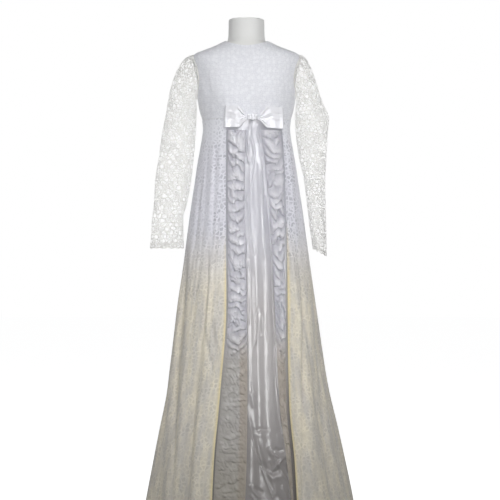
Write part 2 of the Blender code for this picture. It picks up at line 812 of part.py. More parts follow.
def is_gap(row, column):
    """True for a cell that is a gap: every second cell of every second row, set like bricks."""
    inside = 0 < column < SLEEVE_HALF_COLUMNS - 1
    return row % 2 == 1 and inside and (column + row // 2) % 2 == 0


def column_turn(ring, column, start):
    """The angle of a column round the sleeve, drawn in where it borders a gap of the lace."""
    step = math.pi / SLEEVE_HALF_COLUMNS
    turn = start + step * column
    band = ring if ring % 2 == 1 else ring - 1
    if is_gap(band, column):
        return turn + step * LACE_HOLE_NARROWING
    if is_gap(band, column - 1):
        return turn - step * LACE_HOLE_NARROWING
    return turn


def sleeve_half(name, side, table, start, coat):
    """Half of a sleeve, front or back, as a wall with the lace's largest gaps cut through."""
    shares = sleeve_shares()
    top, cuff = table[0].height, table[-1].height
    rows = []
    for ring, share in enumerate(shares):
        hang = max(0.0, (share - CAP_SHARE) / (1 - CAP_SHARE))
        seam = SLEEVE_SEAM / along(table, "half_depth", top + (cuff - top) * hang)
        row = []
        for column in range(SLEEVE_HALF_COLUMNS + 1):
            turn = column_turn(ring, column, start)
            if column == 0:
                turn = start + seam
            elif column == SLEEVE_HALF_COLUMNS:
                turn = start + math.pi - seam
            row.append(sleeve_point(side, table, turn, share))
        rows.append(row)
    if side < 0:
        rows.reverse()
        shares_left = len(shares) - 2
        return cloth(name, rows, LACE, coat, grow=-1, holes=lambda r, c: is_gap(shares_left - r, c))
    return cloth(name, rows, LACE, coat, grow=-1, holes=is_gap)


def build_sleeves():
    """Unlined lace sleeves, each a tube in a front and a back half."""
    lace = material("sleeve_lace")
    for label, side, table in (("left", -1, LEFT_SLEEVE), ("right", 1, RIGHT_SLEEVE)):
        sleeve_half(f"sleeve_{label}_front", side, table, 0.0, lace)
        sleeve_half(f"sleeve_{label}_back", side, table, math.pi, lace)


# The bow


def bow_point(x, height, out):
    """A point of the bow: it lies in a shallow curve across the front, moved forward by out."""
    away = x - BOW_MIDDLE
    sweep = BOW_SWEEP_RIGHT if away > 0 else BOW_SWEEP_LEFT
    lean = BOW_LEAN * max(0.0, height - EMPIRE_SEAM)
    return Vector((x, BOW_BACK + sweep * away * away - lean - out, height))


def bow_loop(name, end, coat):
    """One loop: a wide strip folded back on itself, gathered towards the knot."""
    side = 1 if end > BOW_MIDDLE else -1
    neck = BOW_MIDDLE + side * (KNOT_WIDTH / 2 + SEAM)
    span = abs(end - neck)
    shares = [k / LOOP_STEPS for k in range(LOOP_STEPS + 1)]
    path = []
    for share in shares:
        puff = LOOP_BACK_PUFF * (1 - smooth_step(0, LOOP_PUFF_END, share))
        path.append((share * LOOP_FOLD, LOOP_BACK + puff, 0.0))
    for part in LOOP_FOLD_POINTS:
        path.append((1.0, LOOP_BACK + LOOP_RISE * part, 0.0))
    for share in reversed(shares):
        swell = math.sin(math.pi * min(1.0, share * LOOP_CREST))
        full = LOOP_RISE * (LOOP_FLAT_SWELL + (1 - LOOP_FLAT_SWELL) * swell)
        near = smooth_step(0, LOOP_SWELLS_BY, share)
        gather = GATHER * (1 - smooth_step(0, GATHER_END, share * LOOP_FOLD))
        path.append((share * LOOP_FOLD, LOOP_BACK + LOOP_FRONT + (full - LOOP_FRONT) * near, gather))
    rows = []
    for share, out, gather in path:
        tall = LOOP_NECK + (LOOP_TALL - LOOP_NECK) * smooth_step(0, LOOP_OPENS_BY, share)
        row = []
        for w in LOOP_WIDTHS:
            x = neck + side * span * share
            height = BOW_HEIGHT + w * tall / 2 - side * share * LOOP_TILT / 2
            row.append(bow_point(x, height, out + gather * math.cos(w * GATHER_TURNS)))
        rows.append(row)
    if side < 0:
        rows.reverse()
    return cloth(name, rows, SATIN, coat, grow=0)


def build_bow():
    satin = material("satin")
    bow_loop("bow_loop_left", LEFT_LOOP_END, satin)
    bow_loop("bow_loop_right", RIGHT_LOOP_END, satin)
    bpy.ops.mesh.primitive_cube_add(size=1, location=bow_point(BOW_MIDDLE, BOW_HEIGHT, KNOT_DEEP / 2))
    knot = bpy.context.object
    knot.name = knot.data.name = "bow_knot"
    for vertex in knot.data.vertices:
        vertex.co.x *= KNOT_WIDTH * (1 if vertex.co.z > 0 else KNOT_FOOT)
        vertex.co.y *= KNOT_DEEP
        vertex.co.z *= KNOT_TALL
    rounded = knot.modifiers.new("rounded", "BEVEL")
    rounded.width = KNOT_EDGE
    rounded.segments = KNOT_EDGE_STEPS
    knot.data.shade_smooth()
    knot.data.materials.append(satin)
    for holder in list(knot.users_collection):
        holder.objects.unlink(knot)
    bpy.data.collections[COLLECTION].objects.link(knot)


# The back fastening's lap


def lap_strip(name, surface, stand_off, heights, coat):
    """A narrow strip down the middle of the back, made from the points of what it lies on."""
    rows = []
    for height in heights:
        half = LAP_WIDTH / 2 / surface(math.pi, height).y
        angles = [math.pi + half * share for share in (-1.0, 0.0, 1.0)]
        rows.append([moved_out(surface, angle, height, stand_off) for angle in angles])
    return cloth(name, rows, LACE, coat)


def build_lap():
    """The lap over the fastening, from the neck down into the skirt, lying on the back seam."""
    lace = material("lace_on_lining")
    bodice = [bodice_height(math.pi, height) for height, turn in bodice_rows()]
    skirt = [h for h in skirt_heights(OVERSKIRT_HEM, OVERSKIRT_ROWS) if h > LAP_FOOT]
    lap_strip("back_lap_bodice", body_point, EASE + BODICE_CLOTH + 2 * SEAM, bodice, lace)
    lap_strip("back_lap_skirt", overskirt_point, LACE + 2 * SEAM, skirt, lace)


def main():
    for old in list(bpy.data.objects):
        bpy.data.objects.remove(old)
    made = bpy.data.collections.new(COLLECTION)
    bpy.context.scene.collection.children.link(made)
    build_form()
    build_stand()
    build_bodice()
    build_underskirt()
    build_overskirt()
    build_ruffles()
    build_sleeves()
    build_bow()
    build_lap()


main()
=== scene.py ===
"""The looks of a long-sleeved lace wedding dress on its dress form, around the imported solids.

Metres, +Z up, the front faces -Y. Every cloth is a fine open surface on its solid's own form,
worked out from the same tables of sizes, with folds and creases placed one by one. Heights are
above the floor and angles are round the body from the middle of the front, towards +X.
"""

import math

import bmesh
import bpy
import numpy as np
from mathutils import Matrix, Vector


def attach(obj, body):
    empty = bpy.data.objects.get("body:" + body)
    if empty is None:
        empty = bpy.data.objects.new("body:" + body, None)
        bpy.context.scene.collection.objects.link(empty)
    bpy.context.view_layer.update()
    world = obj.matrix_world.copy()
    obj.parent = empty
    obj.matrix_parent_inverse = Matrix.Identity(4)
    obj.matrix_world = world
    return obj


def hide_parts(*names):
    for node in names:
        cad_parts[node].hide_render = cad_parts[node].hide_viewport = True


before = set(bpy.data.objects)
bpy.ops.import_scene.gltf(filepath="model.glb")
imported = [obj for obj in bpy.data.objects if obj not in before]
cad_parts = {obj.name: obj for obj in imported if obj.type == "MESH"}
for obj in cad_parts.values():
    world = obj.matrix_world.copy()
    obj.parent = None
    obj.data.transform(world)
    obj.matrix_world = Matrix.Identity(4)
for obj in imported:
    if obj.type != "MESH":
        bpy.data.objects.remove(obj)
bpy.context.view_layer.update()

# Cloth thicknesses, room between the layers and the dress's main heights, as in the solids
BODICE_CLOTH, SATIN, LACE, RUFFLE_CLOTH = 0.0015, 0.0012, 0.0012, 0.0010
EASE, SEAM, RIM_LEAN, LAYER_GAP = 0.0034, 0.0003, 0.0008, 0.0013
NECK_TOP, FORM_BOTTOM, FORM_EDGE, FORM_EDGE_TRIM = 1.550, 0.800, 0.004, 0.985
NECKLINE_FRONT, NECKLINE_SIDE, NECKLINE_BACK = 1.459, 1.480, 1.474
SHOULDER_TIP, UNDERARM, EMPIRE_SEAM = 1.438, 1.305, 1.2365
UNDERSKIRT_HEM, OVERSKIRT_HEM = 0.016, 0.012
ARMHOLE_FRONT, ARMHOLE_BACK = math.radians(20), math.radians(17)
BUST_SPACING, BUST_HEIGHT, BUST_RISE, BUST_WIDE, BUST_TALL = 0.076, 1.312, 0.017, 0.046, 0.050
OVERSKIRT_STAND_OFF, STAND_OFF_REACHED = 0.0040, 1.15
SIDE_SEAM, BACK_GORE_SEAM = math.radians(90), math.radians(118)
FRONT_GORE_SEAM, FRONT_GORE_SEAM_AT_TOP = math.radians(52), math.radians(69)
FRONT_GORE_STRAIGHT_BELOW = 0.80
SATIN_FOLD_TOP, SATIN_FOLD_FULL = 1.10, 0.60
RUFFLE_TOP, RUFFLE_SWAGS, RUFFLE_RISE, RUFFLE_HEM = 1.198, 32, 0.011, 0.022
RUFFLE_EDGE_GAP = 0.0008
CAP_SHARE, CAP_OUT_UNDERARM, CAP_DOWN_UNDERARM = 0.26, 0.020, 0.030
SLEEVE_SEAM = 0.0007
KNOT_WIDTH, KNOT_TALL, KNOT_DEEP = 0.030, 0.020, 0.016
BOW_MIDDLE, BOW_HEIGHT, BOW_BACK = 0.018, 1.2375, -0.1042
BOW_SWEEP_LEFT, BOW_SWEEP_RIGHT, BOW_LEAN = 0.9, 2.4, 0.225
LOOP_TALL, LOOP_NECK, LOOP_RISE, LOOP_BACK, LOOP_TILT = 0.064, 0.016, 0.015, 0.0010, 0.004
LEFT_LOOP_END, RIGHT_LOOP_END = -0.066, 0.113
LAP_WIDTH, LAP_FOOT = 0.026, 0.98
WELD_DISTANCE = 0.00005

# Sizes of the finer surfaces alone: the lace's front edges, the ruffles' puffs, the creases
LACE_EDGE_GAP, EDGE_TUCK, EDGE_TUCK_WIDTH, RELIEF_REACHED = 0.0018, 0.0030, 0.014, 1.16
PUFF_LIFT, LIFT_LOST_BELOW, PUFF_DROOP = 1.6, 0.75, 0.9
CRISP_SHARE, CRISP_REACH, CRISP_CREST, CRISP_CURVE = 0.85, 1.7, 0.01, 1.1

# The sleeves' lace: its grid and cells, its bars, flowers and twigs, and the bands at its edges
SLEEVE_GRID, SLEEVE_NET, NET_ROW = 0.00115, 0.0150, 0.866
BAR, BAR_WIDER, SPOKE, TWIG, FLOWER_EYE, FLOWER_MIDDLE = 0.0008, 0.0005, 0.00075, 0.0008, 0.0010, 0.0012
SCALLOP_PITCH, SCALLOP_DEPTH, HEAD_BAND, SEAM_BAND, SEAM_BAND_IN = 0.020, 0.0050, 0.0030, 0.0011, 0.0008
CUFF_BANDS = ((0.0013, 0.0018), (0.0012, 0.0110))
QUARTER_TURN, CREASE_NARROWING = 0.45, 0.35


# Curves and surfaces


def smooth_step(low, high, value):
    """0 below low, 1 above high, and smooth between; low may be the larger."""
    t = np.clip((np.asarray(value, float) - low) / (high - low), 0, 1)
    return t * t * (3 - 2 * t)


def smooth_curve(heights, values, wanted):
    """A curve through values at heights that never overshoots them."""
    steps = np.diff(heights)
    slopes = np.diff(values) / steps
    tangents = np.zeros(len(values))
    tangents[0], tangents[-1] = slopes[0], slopes[-1]
    before, after = slopes[:-1], slopes[1:]
    same = before * after > 0
    total = np.where(same, before + after, 1.0)
    tangents[1:-1] = np.where(same, 2 * before * after / total, 0.0)
    k = np.clip(np.searchsorted(heights, wanted, side="right") - 1, 0, len(steps) - 1)
    t = (wanted - heights[k]) / steps[k]
    return (
        (1 + 2 * t) * (1 - t) ** 2 * values[k]
        + t * (1 - t) ** 2 * steps[k] * tangents[k]
        + t * t * (3 - 2 * t) * values[k + 1]
        + t * t * (t - 1) * steps[k] * tangents[k + 1]
    )


class Table:
    """Named columns of sizes by height, read at any height."""

    def __init__(self, names, rows):
        rows = np.array(sorted(rows))
        self.heights = np.linspace(rows[0, 0], rows[-1, 0], 4000)
        self.columns = {
            name: smooth_curve(rows[:, 0], rows[:, k], self.heights)
            for k, name in enumerate(names.split(), 1)
        }

    def at(self, name, height):
        return np.interp(height, self.heights, self.columns[name])


SECTION = "half_width front back squareness"
BODY = Table(SECTION, [
    (0.800, 0.1580, 0.0980, 0.1080, 2.2),
    (0.860, 0.1620, 0.1000, 0.1140, 2.2),
    (0.920, 0.1560, 0.0970, 0.1060, 2.2),
    (1.000, 0.1350, 0.0890, 0.0850, 2.2),
    (1.080, 0.1170, 0.0840, 0.0720, 2.2),
    (1.160, 0.1215, 0.0890, 0.0790, 2.2),
    (1.230, 0.1305, 0.0950, 0.0880, 2.2),
    (1.270, 0.1420, 0.1010, 0.0940, 2.3),
    (1.310, 0.1480, 0.1040, 0.0980, 2.4),
    (1.360, 0.1540, 0.1010, 0.0990, 2.4),
    (1.400, 0.1620, 0.0940, 0.0950, 2.4),
    (1.425, 0.1650, 0.0860, 0.0890, 2.3),
    (1.438, 0.1600, 0.0800, 0.0840, 2.2),
    (1.448, 0.1380, 0.0750, 0.0790, 2.1),
    (1.460, 0.1060, 0.0690, 0.0720, 2.0),
    (1.472, 0.0800, 0.0640, 0.0660, 2.0),
    (1.482, 0.0605, 0.0605, 0.0615, 2.0),
    (1.500, 0.0565, 0.0570, 0.0570, 2.0),
    (1.550, 0.0555, 0.0550, 0.0550, 2.0),
])
SKIRT = Table(SECTION, [
    (0.016, 0.3060, 0.2340, 0.3050, 2.2),
    (0.120, 0.2870, 0.2190, 0.2810, 2.2),
    (0.270, 0.2580, 0.1970, 0.2500, 2.2),
    (0.420, 0.2290, 0.1750, 0.2220, 2.2),
    (0.640, 0.2050, 0.1470, 0.1850, 2.2),
    (0.790, 0.1880, 0.1300, 0.1600, 2.2),
    (0.940, 0.1690, 0.1140, 0.1300, 2.2),
    (1.090, 0.1470, 0.1000, 0.1000, 2.2),
    (1.206, 0.1310, 0.0990, 0.0895, 2.2),
    (1.2365, 0.1345, 0.1010, 0.0920, 2.2),
])
FRONT = Table("lace_left satin_left satin_right lace_right", [
    (0.016, -0.100, -0.006, 0.138, 0.145),
    (0.060, -0.098, -0.004, 0.134, 0.141),
    (0.215, -0.091, 0.002, 0.117, 0.133),
    (0.370, -0.077, 0.004, 0.098, 0.120),
    (0.680, -0.056, 0.002, 0.083, 0.117),
    (0.990, -0.058, -0.004, 0.066, 0.113),
    (1.200, -0.057, 0.001, 0.044, 0.104),
    (1.2365, -0.055, 0.003, 0.040, 0.098),
])
SLEEVE = "outer inner middle half_depth droop"
LEFT_SLEEVE = Table(SLEEVE, [
    (1.275, -0.2475, -0.1550, -0.002, 0.046, 0.000),
    (1.200, -0.2620, -0.1575, -0.004, 0.038, 0.000),
    (1.125, -0.2725, -0.1640, -0.006, 0.031, 0.000),
    (1.050, -0.2840, -0.1720, -0.008, 0.027, 0.000),
    (0.975, -0.2880, -0.1860, -0.010, 0.026, 0.000),
    (0.935, -0.2930, -0.1965, -0.011, 0.026, 0.000),
    (0.885, -0.2960, -0.1960, -0.012, 0.028, 0.000),
    (0.838, -0.3000, -0.1940, -0.012, 0.031, 0.000),
])
RIGHT_SLEEVE = Table(SLEEVE, [
    (1.275, 0.2450, 0.1530, 0.000, 0.046, 0.000),
    (1.246, 0.2570, 0.1510, 0.000, 0.044, 0.000),
    (1.190, 0.2525, 0.1540, -0.002, 0.040, 0.000),
    (1.125, 0.2490, 0.1630, -0.004, 0.039, 0.000),
    (1.050, 0.2450, 0.1790, -0.006, 0.041, 0.000),
    (0.975, 0.2460, 0.1880, -0.008, 0.043, 0.002),
    (0.902, 0.2475, 0.1960, -0.010, 0.043, 0.006),
    (0.826, 0.2490, 0.2060, -0.010, 0.042, 0.012),
])
# Each head's pull outwards, the slant and the pull down with which it arrives
LEFT_CAP, RIGHT_CAP = (0.140, 0.020, 0.190), (0.115, 0.075, 0.150)

# The overskirt's folds: angle, how far each stands out at the hem, half width, where it starts
OVERSKIRT_FOLDS = [
    (34, 0.010, 6, 1.05), (52, 0.016, 7, 1.12), (74, 0.013, 7, 0.95), (94, 0.029, 9, 0.95),
    (116, 0.015, 8, 1.00), (139, 0.019, 8, 1.14), (161, 0.016, 8, 1.05), (-165, 0.018, 8, 1.14),
    (-143, 0.015, 8, 1.00), (-120, 0.019, 8, 1.10), (-97, 0.010, 8, 0.98), (-76, 0.013, 7, 1.12),
    (-55, 0.012, 7, 0.90), (-36, 0.014, 6, 1.05),
]


def wrapped(angle):
    """The same angle between -pi and pi."""
    return (angle + math.pi) % (2 * math.pi) - math.pi


def radius(table, angle, height):
    """How far a section's edge lies from the middle."""
    across = np.abs(np.sin(angle)) / table.at("half_width", height)
    depth = np.where(np.cos(angle) > 0, table.at("front", height), table.at("back", height))
    deep = np.abs(np.cos(angle)) / depth
    power = table.at("squareness", height)
    return (across**power + deep**power) ** (-1 / power)


def placed(reach, angle, height):
    return np.stack(np.broadcast_arrays(reach * np.sin(angle), -reach * np.cos(angle), height), -1)


def body(angle, height):
    """The form's own surface, with the rises of the bust."""
    point = placed(radius(BODY, angle, height), angle, height)
    for middle in (-BUST_SPACING, BUST_SPACING):
        across = (point[..., 0] - middle) / BUST_WIDE
        up = (height - BUST_HEIGHT) / BUST_TALL
        rise = BUST_RISE * np.maximum(np.cos(angle), 0) * np.exp(-across * across - up * up)
        point[..., 1] -= rise
    return point


def underskirt(angle, height):
    return placed(radius(SKIRT, angle, height), angle, height)


def fold_depth(angle, height):
    """How far the overskirt's folds stand out."""
    degrees = np.degrees(angle)
    depth = 0.0
    for middle, out, half_width, top in OVERSKIRT_FOLDS:
        away = (degrees - middle + 180) % 360 - 180
        grown = smooth_step(top, OVERSKIRT_HEM, height)
        depth = depth + out * grown * np.exp(-((away / half_width) ** 2))
    return depth


def overskirt(angle, height):
    full = smooth_step(EMPIRE_SEAM, STAND_OFF_REACHED, height)
    stand_off = SATIN + LAYER_GAP + OVERSKIRT_STAND_OFF * full
    reach = radius(SKIRT, angle, height) + stand_off + fold_depth(angle, height)
    return placed(reach, angle, height)


def moved_out(surface, angle, height, distance):
    """Points of a surface moved out of it, square to the surface."""
    turn, rise = 0.004, 0.0008
    across = surface(angle + turn, height) - surface(angle - turn, height)
    up = surface(angle, height + rise) - surface(angle, height - rise)
    normal = np.cross(across, up)
    normal /= np.linalg.norm(normal, axis=-1, keepdims=True)
    return surface(angle, height) + normal * np.asarray(distance)[..., None]


def angle_across(x, height):
    """The angle at which a line x to the side of the middle meets the front of the skirt."""
    half_width = SKIRT.at("half_width", height)
    power = SKIRT.at("squareness", height)
    share = np.minimum(0.999, np.abs(x) / half_width)
    y = SKIRT.at("front", height) * (1 - share**power) ** (1 / power)
    return np.arctan2(x, y)


def noise(x, y, seed):
    """Smooth waves between about -1 and 1 that don't repeat over the dress."""
    draw = np.random.RandomState(seed)
    total = 0.0
    for _ in range(5):
        a, b, c = draw.uniform(0.6, 1.7), draw.uniform(0.6, 1.7), draw.uniform(0, 6.28)
        turn = draw.uniform(-0.7, 0.7)
        total = total + np.sin(a * x * math.cos(turn) + b * y * math.sin(turn) + c)
    return total / 3


def hashed(i, j, seed):
    """A number from 0 to 1 for a cell of a lattice, the same on every machine."""
    n = (i * 73856093) ^ (j * 19349663) ^ (seed * 83492791)
    n = n & 0xFFFFFFFF
    n = ((n ^ (n >> 13)) * 1274126177) & 0xFFFFFFFF
    n = n ^ (n >> 16)
    return (n & 0xFFFFFF) / float(0x1000000)


def puffs(x, y, seed):
    """Smooth noise between -1 and 1 on a lattice of unit cells."""
    i, j = np.floor(x).astype(np.int64), np.floor(y).astype(np.int64)
    fx, fy = smooth_step(0, 1, x - i), smooth_step(0, 1, y - j)
    low = hashed(i, j, seed) * (1 - fx) + hashed(i + 1, j, seed) * fx
    high = hashed(i, j + 1, seed) * (1 - fx) + hashed(i + 1, j + 1, seed) * fx
    return 2 * (low * (1 - fy) + high * fy) - 1


def line_away(x, z, points):
    """Distance to a broken line of points, and how far along it the nearest place is, 0 to 1."""
    points = np.asarray(points, float)
    lengths = np.linalg.norm(np.diff(points, axis=0), axis=1)
    started = np.concatenate([[0], np.cumsum(lengths)]) / lengths.sum()
    best = np.full(np.shape(x), 9.0)
    along = np.zeros(np.shape(x))
    for k, ((x0, z0), (x1, z1)) in enumerate(zip(points, points[1:])):
        dx, dz = x1 - x0, z1 - z0
        t = np.clip(((x - x0) * dx + (z - z0) * dz) / (dx * dx + dz * dz), 0, 1)
        away = np.hypot(x - x0 - t * dx, z - z0 - t * dz)
        nearer = away < best
        best = np.where(nearer, away, best)
        along = np.where(nearer, started[k] + t * (started[k + 1] - started[k]), along)
    return best, along


def tapered(along):
    """A crease's height along it, 0 at both ends and 1 in the middle."""
    return np.sqrt(np.clip(4 * along * (1 - along), 0, 1))


def creased(x, z, creases):
    """Sum of soft ridges, above 0, and troughs, below 0: each (depth, half width, points)."""
    total = np.zeros(np.shape(x))
    for depth, half_width, points in creases:
        away, along = line_away(x, z, points)
        total += depth * tapered(along) * np.exp(-((away / half_width) ** 2))
    return total


def crisp(x, z, creases, fade=0.0):
    """The same with a sharp crest and straight flanks, as in pressed or crinkled satin.

    With a fade, a crease keeps its full height but for its ends: 6 gives a sixth at each end.
    """
    total = np.zeros(np.shape(x))
    for depth, half_width, points in creases:
        away, along = line_away(x, z, points)
        height = np.clip(fade * np.minimum(along, 1 - along), 0, 1) if fade else tapered(along)
        reach = np.sqrt((away / half_width) ** 2 + CRISP_CREST) / CRISP_REACH
        total += CRISP_SHARE * depth * height * np.clip(1 - reach, 0, 1) ** CRISP_CURVE
    return total


# Meshes


def finish_piece(piece, coat, nodes):
    piece.data.materials.append(coat)
    piece.data.shade_smooth()
    bpy.context.scene.collection.objects.link(piece)
    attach(piece, "root")
    if nodes:
        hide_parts(*nodes)
    return piece


def set_uv(mesh, name, values):
    layer = mesh.uv_layers.new(name=name)
    corner = np.empty(len(mesh.loops), np.int32)
    mesh.loops.foreach_get("vertex_index", corner)
    layer.data.foreach_set("uv", values[corner].astype(np.float32).ravel())


def steps_across(points):
    """How far each point of a row lies from the next."""
    return np.linalg.norm(np.diff(points, axis=1), axis=2)


def length_along(line):
    """How far along a line each of its points lies."""
    return np.concatenate([[0], np.cumsum(np.linalg.norm(np.diff(line, axis=0), axis=1))])


def grid_uv(points):
    """Metres across and along a grid of points, measured from its middle column and last row."""
    across = np.cumsum(steps_across(points), 1)
    across = np.concatenate([np.zeros((len(points), 1)), across], 1)
    across -= across[:, points.shape[1] // 2][:, None]
    along = length_along(points[:, points.shape[1] // 2])
    return np.stack([across, np.broadcast_to(along[:, None], across.shape)], -1)


def grid_piece(name, points, coat, nodes=(), edge_uv=None):
    """A surface through rows of points; rows go up, columns towards +X at the front."""
    rows, columns = points.shape[:2]
    index = np.arange(rows * columns).reshape(rows, columns)
    faces = np.stack([index[:-1, :-1], index[:-1, 1:], index[1:, 1:], index[1:, :-1]], -1)
    mesh = bpy.data.meshes.new(name)
    mesh.from_pydata(points.reshape(-1, 3).tolist(), [], faces.reshape(-1, 4).tolist())
    share = np.stack(np.meshgrid(np.linspace(0, 1, columns), np.linspace(0, 1, rows)), -1)
    set_uv(mesh, "OFBake", share.reshape(-1, 2))
    set_uv(mesh, "cloth", grid_uv(points).reshape(-1, 2))
    if edge_uv is not None:
        set_uv(mesh, "edge", edge_uv.reshape(-1, 2))
    return finish_piece(bpy.data.objects.new(name, mesh), coat, nodes)


# Materials


SOCKETS = {"sheen": "Sheen Weight", "sheen_rough": "Sheen Roughness", "alpha": "Alpha",
           "specular": "Specular IOR Level", "metal": "Metallic"}


class Coat:
    """A node material, put together a node at a time."""

    def __init__(self, name):
        self.material = bpy.data.materials.new(name)
        self.material.use_nodes = True
        self.tree = self.material.node_tree
        self.tree.nodes.clear()

    def node(self, kind, inputs=None, **settings):
        made = self.tree.nodes.new("ShaderNode" + kind)
        for name, value in settings.items():
            setattr(made, name, value)
        for name, value in (inputs or {}).items():
            if isinstance(value, bpy.types.NodeSocket):
                self.tree.links.new(value, made.inputs[name])
            else:
                made.inputs[name].default_value = value
        return made

    def sum(self, operation, *values):
        return self.node("Math", dict(enumerate(values)), operation=operation).outputs[0]

    def vector(self, operation, *values):
        made = self.node("VectorMath", dict(enumerate(values)), operation=operation)
        return made.outputs["Value" if operation in ("LENGTH", "DISTANCE") else "Vector"]

    def between(self, value, low, high, out_low=0.0, out_high=1.0):
        """Value from low to high, read smoothly as out_low to out_high."""
        made = self.node("MapRange", {0: value, 1: low, 2: high, 3: out_low, 4: out_high})
        made.interpolation_type = "SMOOTHSTEP"
        return made.outputs[0]

    def mix(self, share, first, second):
        made = self.node("Mix", data_type="RGBA")
        for socket, value in ((0, share), (6, first), (7, second)):
            if isinstance(value, bpy.types.NodeSocket):
                self.tree.links.new(value, made.inputs[socket])
            else:
                made.inputs[socket].default_value = value
        return made.outputs[2]

    def uv(self):
        return self.node("UVMap", uv_map="cloth").outputs["UV"]

    def edge(self):
        """How far a point lies from the piece's free edge, and a second value: the height on the lace,
        and on a ruffle the puff's share, which stands partly for two layers of organza and partly for
        painted light.
        """
        place = self.node("UVMap", uv_map="edge").outputs["UV"]
        parts = self.node("SeparateXYZ", {0: place})
        return parts.outputs["X"], parts.outputs["Y"]

    def place(self):
        return self.node("TexCoord").outputs["Object"]

    def height(self):
        return self.node("SeparateXYZ", {0: self.place()}).outputs["Z"]

    def waves(self, vector, scale, detail=2.0, rough=0.5):
        made = self.node("TexNoise", {"Vector": vector, "Scale": scale, "Detail": detail,
                                      "Roughness": rough})
        return made.outputs["Fac"]

    def weave(self, uv, scale, distortion):
        made = self.node("TexWave", {"Vector": uv, "Scale": scale, "Distortion": distortion})
        return made.outputs["Fac"]

    def surface(self, colour, rough, relief, strength, depth, **more):
        """The main shader, with a fine relief; more gives its other values, by SOCKETS' words."""
        bump = self.node("Bump", {"Height": relief, "Strength": strength, "Distance": depth})
        inputs = {"Base Color": colour, "Roughness": rough, "Normal": bump.outputs[0]}
        inputs.update({SOCKETS[word]: value for word, value in more.items()})
        return self.node("BsdfPrincipled", inputs)

    def let_through(self, shader, colour, share):
        """The shader with a share of light let through the cloth."""
        through = self.node("BsdfTranslucent", {"Color": colour})
        return self.node("MixShader", {0: share, 1: shader.outputs[0], 2: through.outputs[0]})

    def close(self, shader):
        out = self.node("OutputMaterial")
        self.tree.links.new(shader.outputs[0], out.inputs["Surface"])
        return self.material

    def lace(self, uv, flower, net, bar):
        """1 on the lace's thread and 0 in its gaps: flowers with an eye on a net of bars."""
        wobble = self.node("TexNoise", {"Vector": uv, "Scale": 70.0, "Detail": 1.0})
        shifted = self.vector("SUBTRACT", wobble.outputs["Color"], (0.5, 0.5, 0.5))
        scaled = self.node("VectorMath", {0: shifted, "Scale": 0.0045}, operation="SCALE")
        place = self.vector("ADD", uv, scaled.outputs["Vector"])
        cell = self.node("TexVoronoi", {"Vector": place, "Scale": 1 / flower, "Randomness": 0.7},
                         voronoi_dimensions="2D")
        away = self.vector("SUBTRACT", place, cell.outputs["Position"])
        parts = self.node("SeparateXYZ", {0: away})
        far = self.sum("SQRT", self.sum("ADD", self.sum("POWER", parts.outputs["X"], 2.0),
                                        self.sum("POWER", parts.outputs["Y"], 2.0)))
        turn = self.sum("ARCTAN2", parts.outputs["Y"], parts.outputs["X"])
        start = self.node("SeparateColor", {0: cell.outputs["Color"]})
        phase = self.sum("MULTIPLY_ADD", start.outputs[0], 6.28, self.sum("MULTIPLY", turn, 5.0))
        reach = self.sum("MULTIPLY_ADD", self.sum("COSINE", phase), flower * 0.075,
                         self.sum("MULTIPLY_ADD", start.outputs[1], flower * 0.10, flower * 0.20))
        bloom = self.between(self.sum("SUBTRACT", reach, far), -0.0004, 0.0004)
        eye = self.between(far, flower * 0.05, flower * 0.09)
        edges = self.node("TexVoronoi", {"Vector": place, "Scale": 1 / net, "Randomness": 0.9},
                          voronoi_dimensions="2D", feature="DISTANCE_TO_EDGE")
        bars = self.between(edges.outputs["Distance"], bar / net, bar * 0.55 / net)
        return self.sum("MAXIMUM", self.sum("MULTIPLY", bloom, eye), bars)


def rgb(red, green, blue):
    """A colour given as it looks on a screen, 0 to 255, as the shaders take it."""
    linear = [c / 255 / 12.92 if c <= 10 else ((c / 255 + 0.055) / 1.055) ** 2.4
              for c in (red, green, blue)]
    return (*linear, 1.0)


def bodice_coat():
    coat = Coat("lace_over_lining")
    uv = coat.uv()
    thread = coat.lace(uv, 0.016, 0.0052, 0.0008)
    ground = coat.mix(coat.waves(uv, 45.0, 3.0), rgb(212, 213, 220), rgb(226, 227, 232))
    colour = coat.mix(coat.sum("MULTIPLY", thread, 0.8), ground, rgb(238, 239, 243))
    relief = coat.sum("MULTIPLY_ADD", coat.waves(uv, 900.0, 2.0), 0.25, thread)
    rough = coat.between(thread, 0, 1, 0.62, 0.85)
    return coat.close(coat.surface(
        colour, rough, relief, 0.5, 0.0004, sheen=0.25, sheen_rough=0.5, specular=0.3))


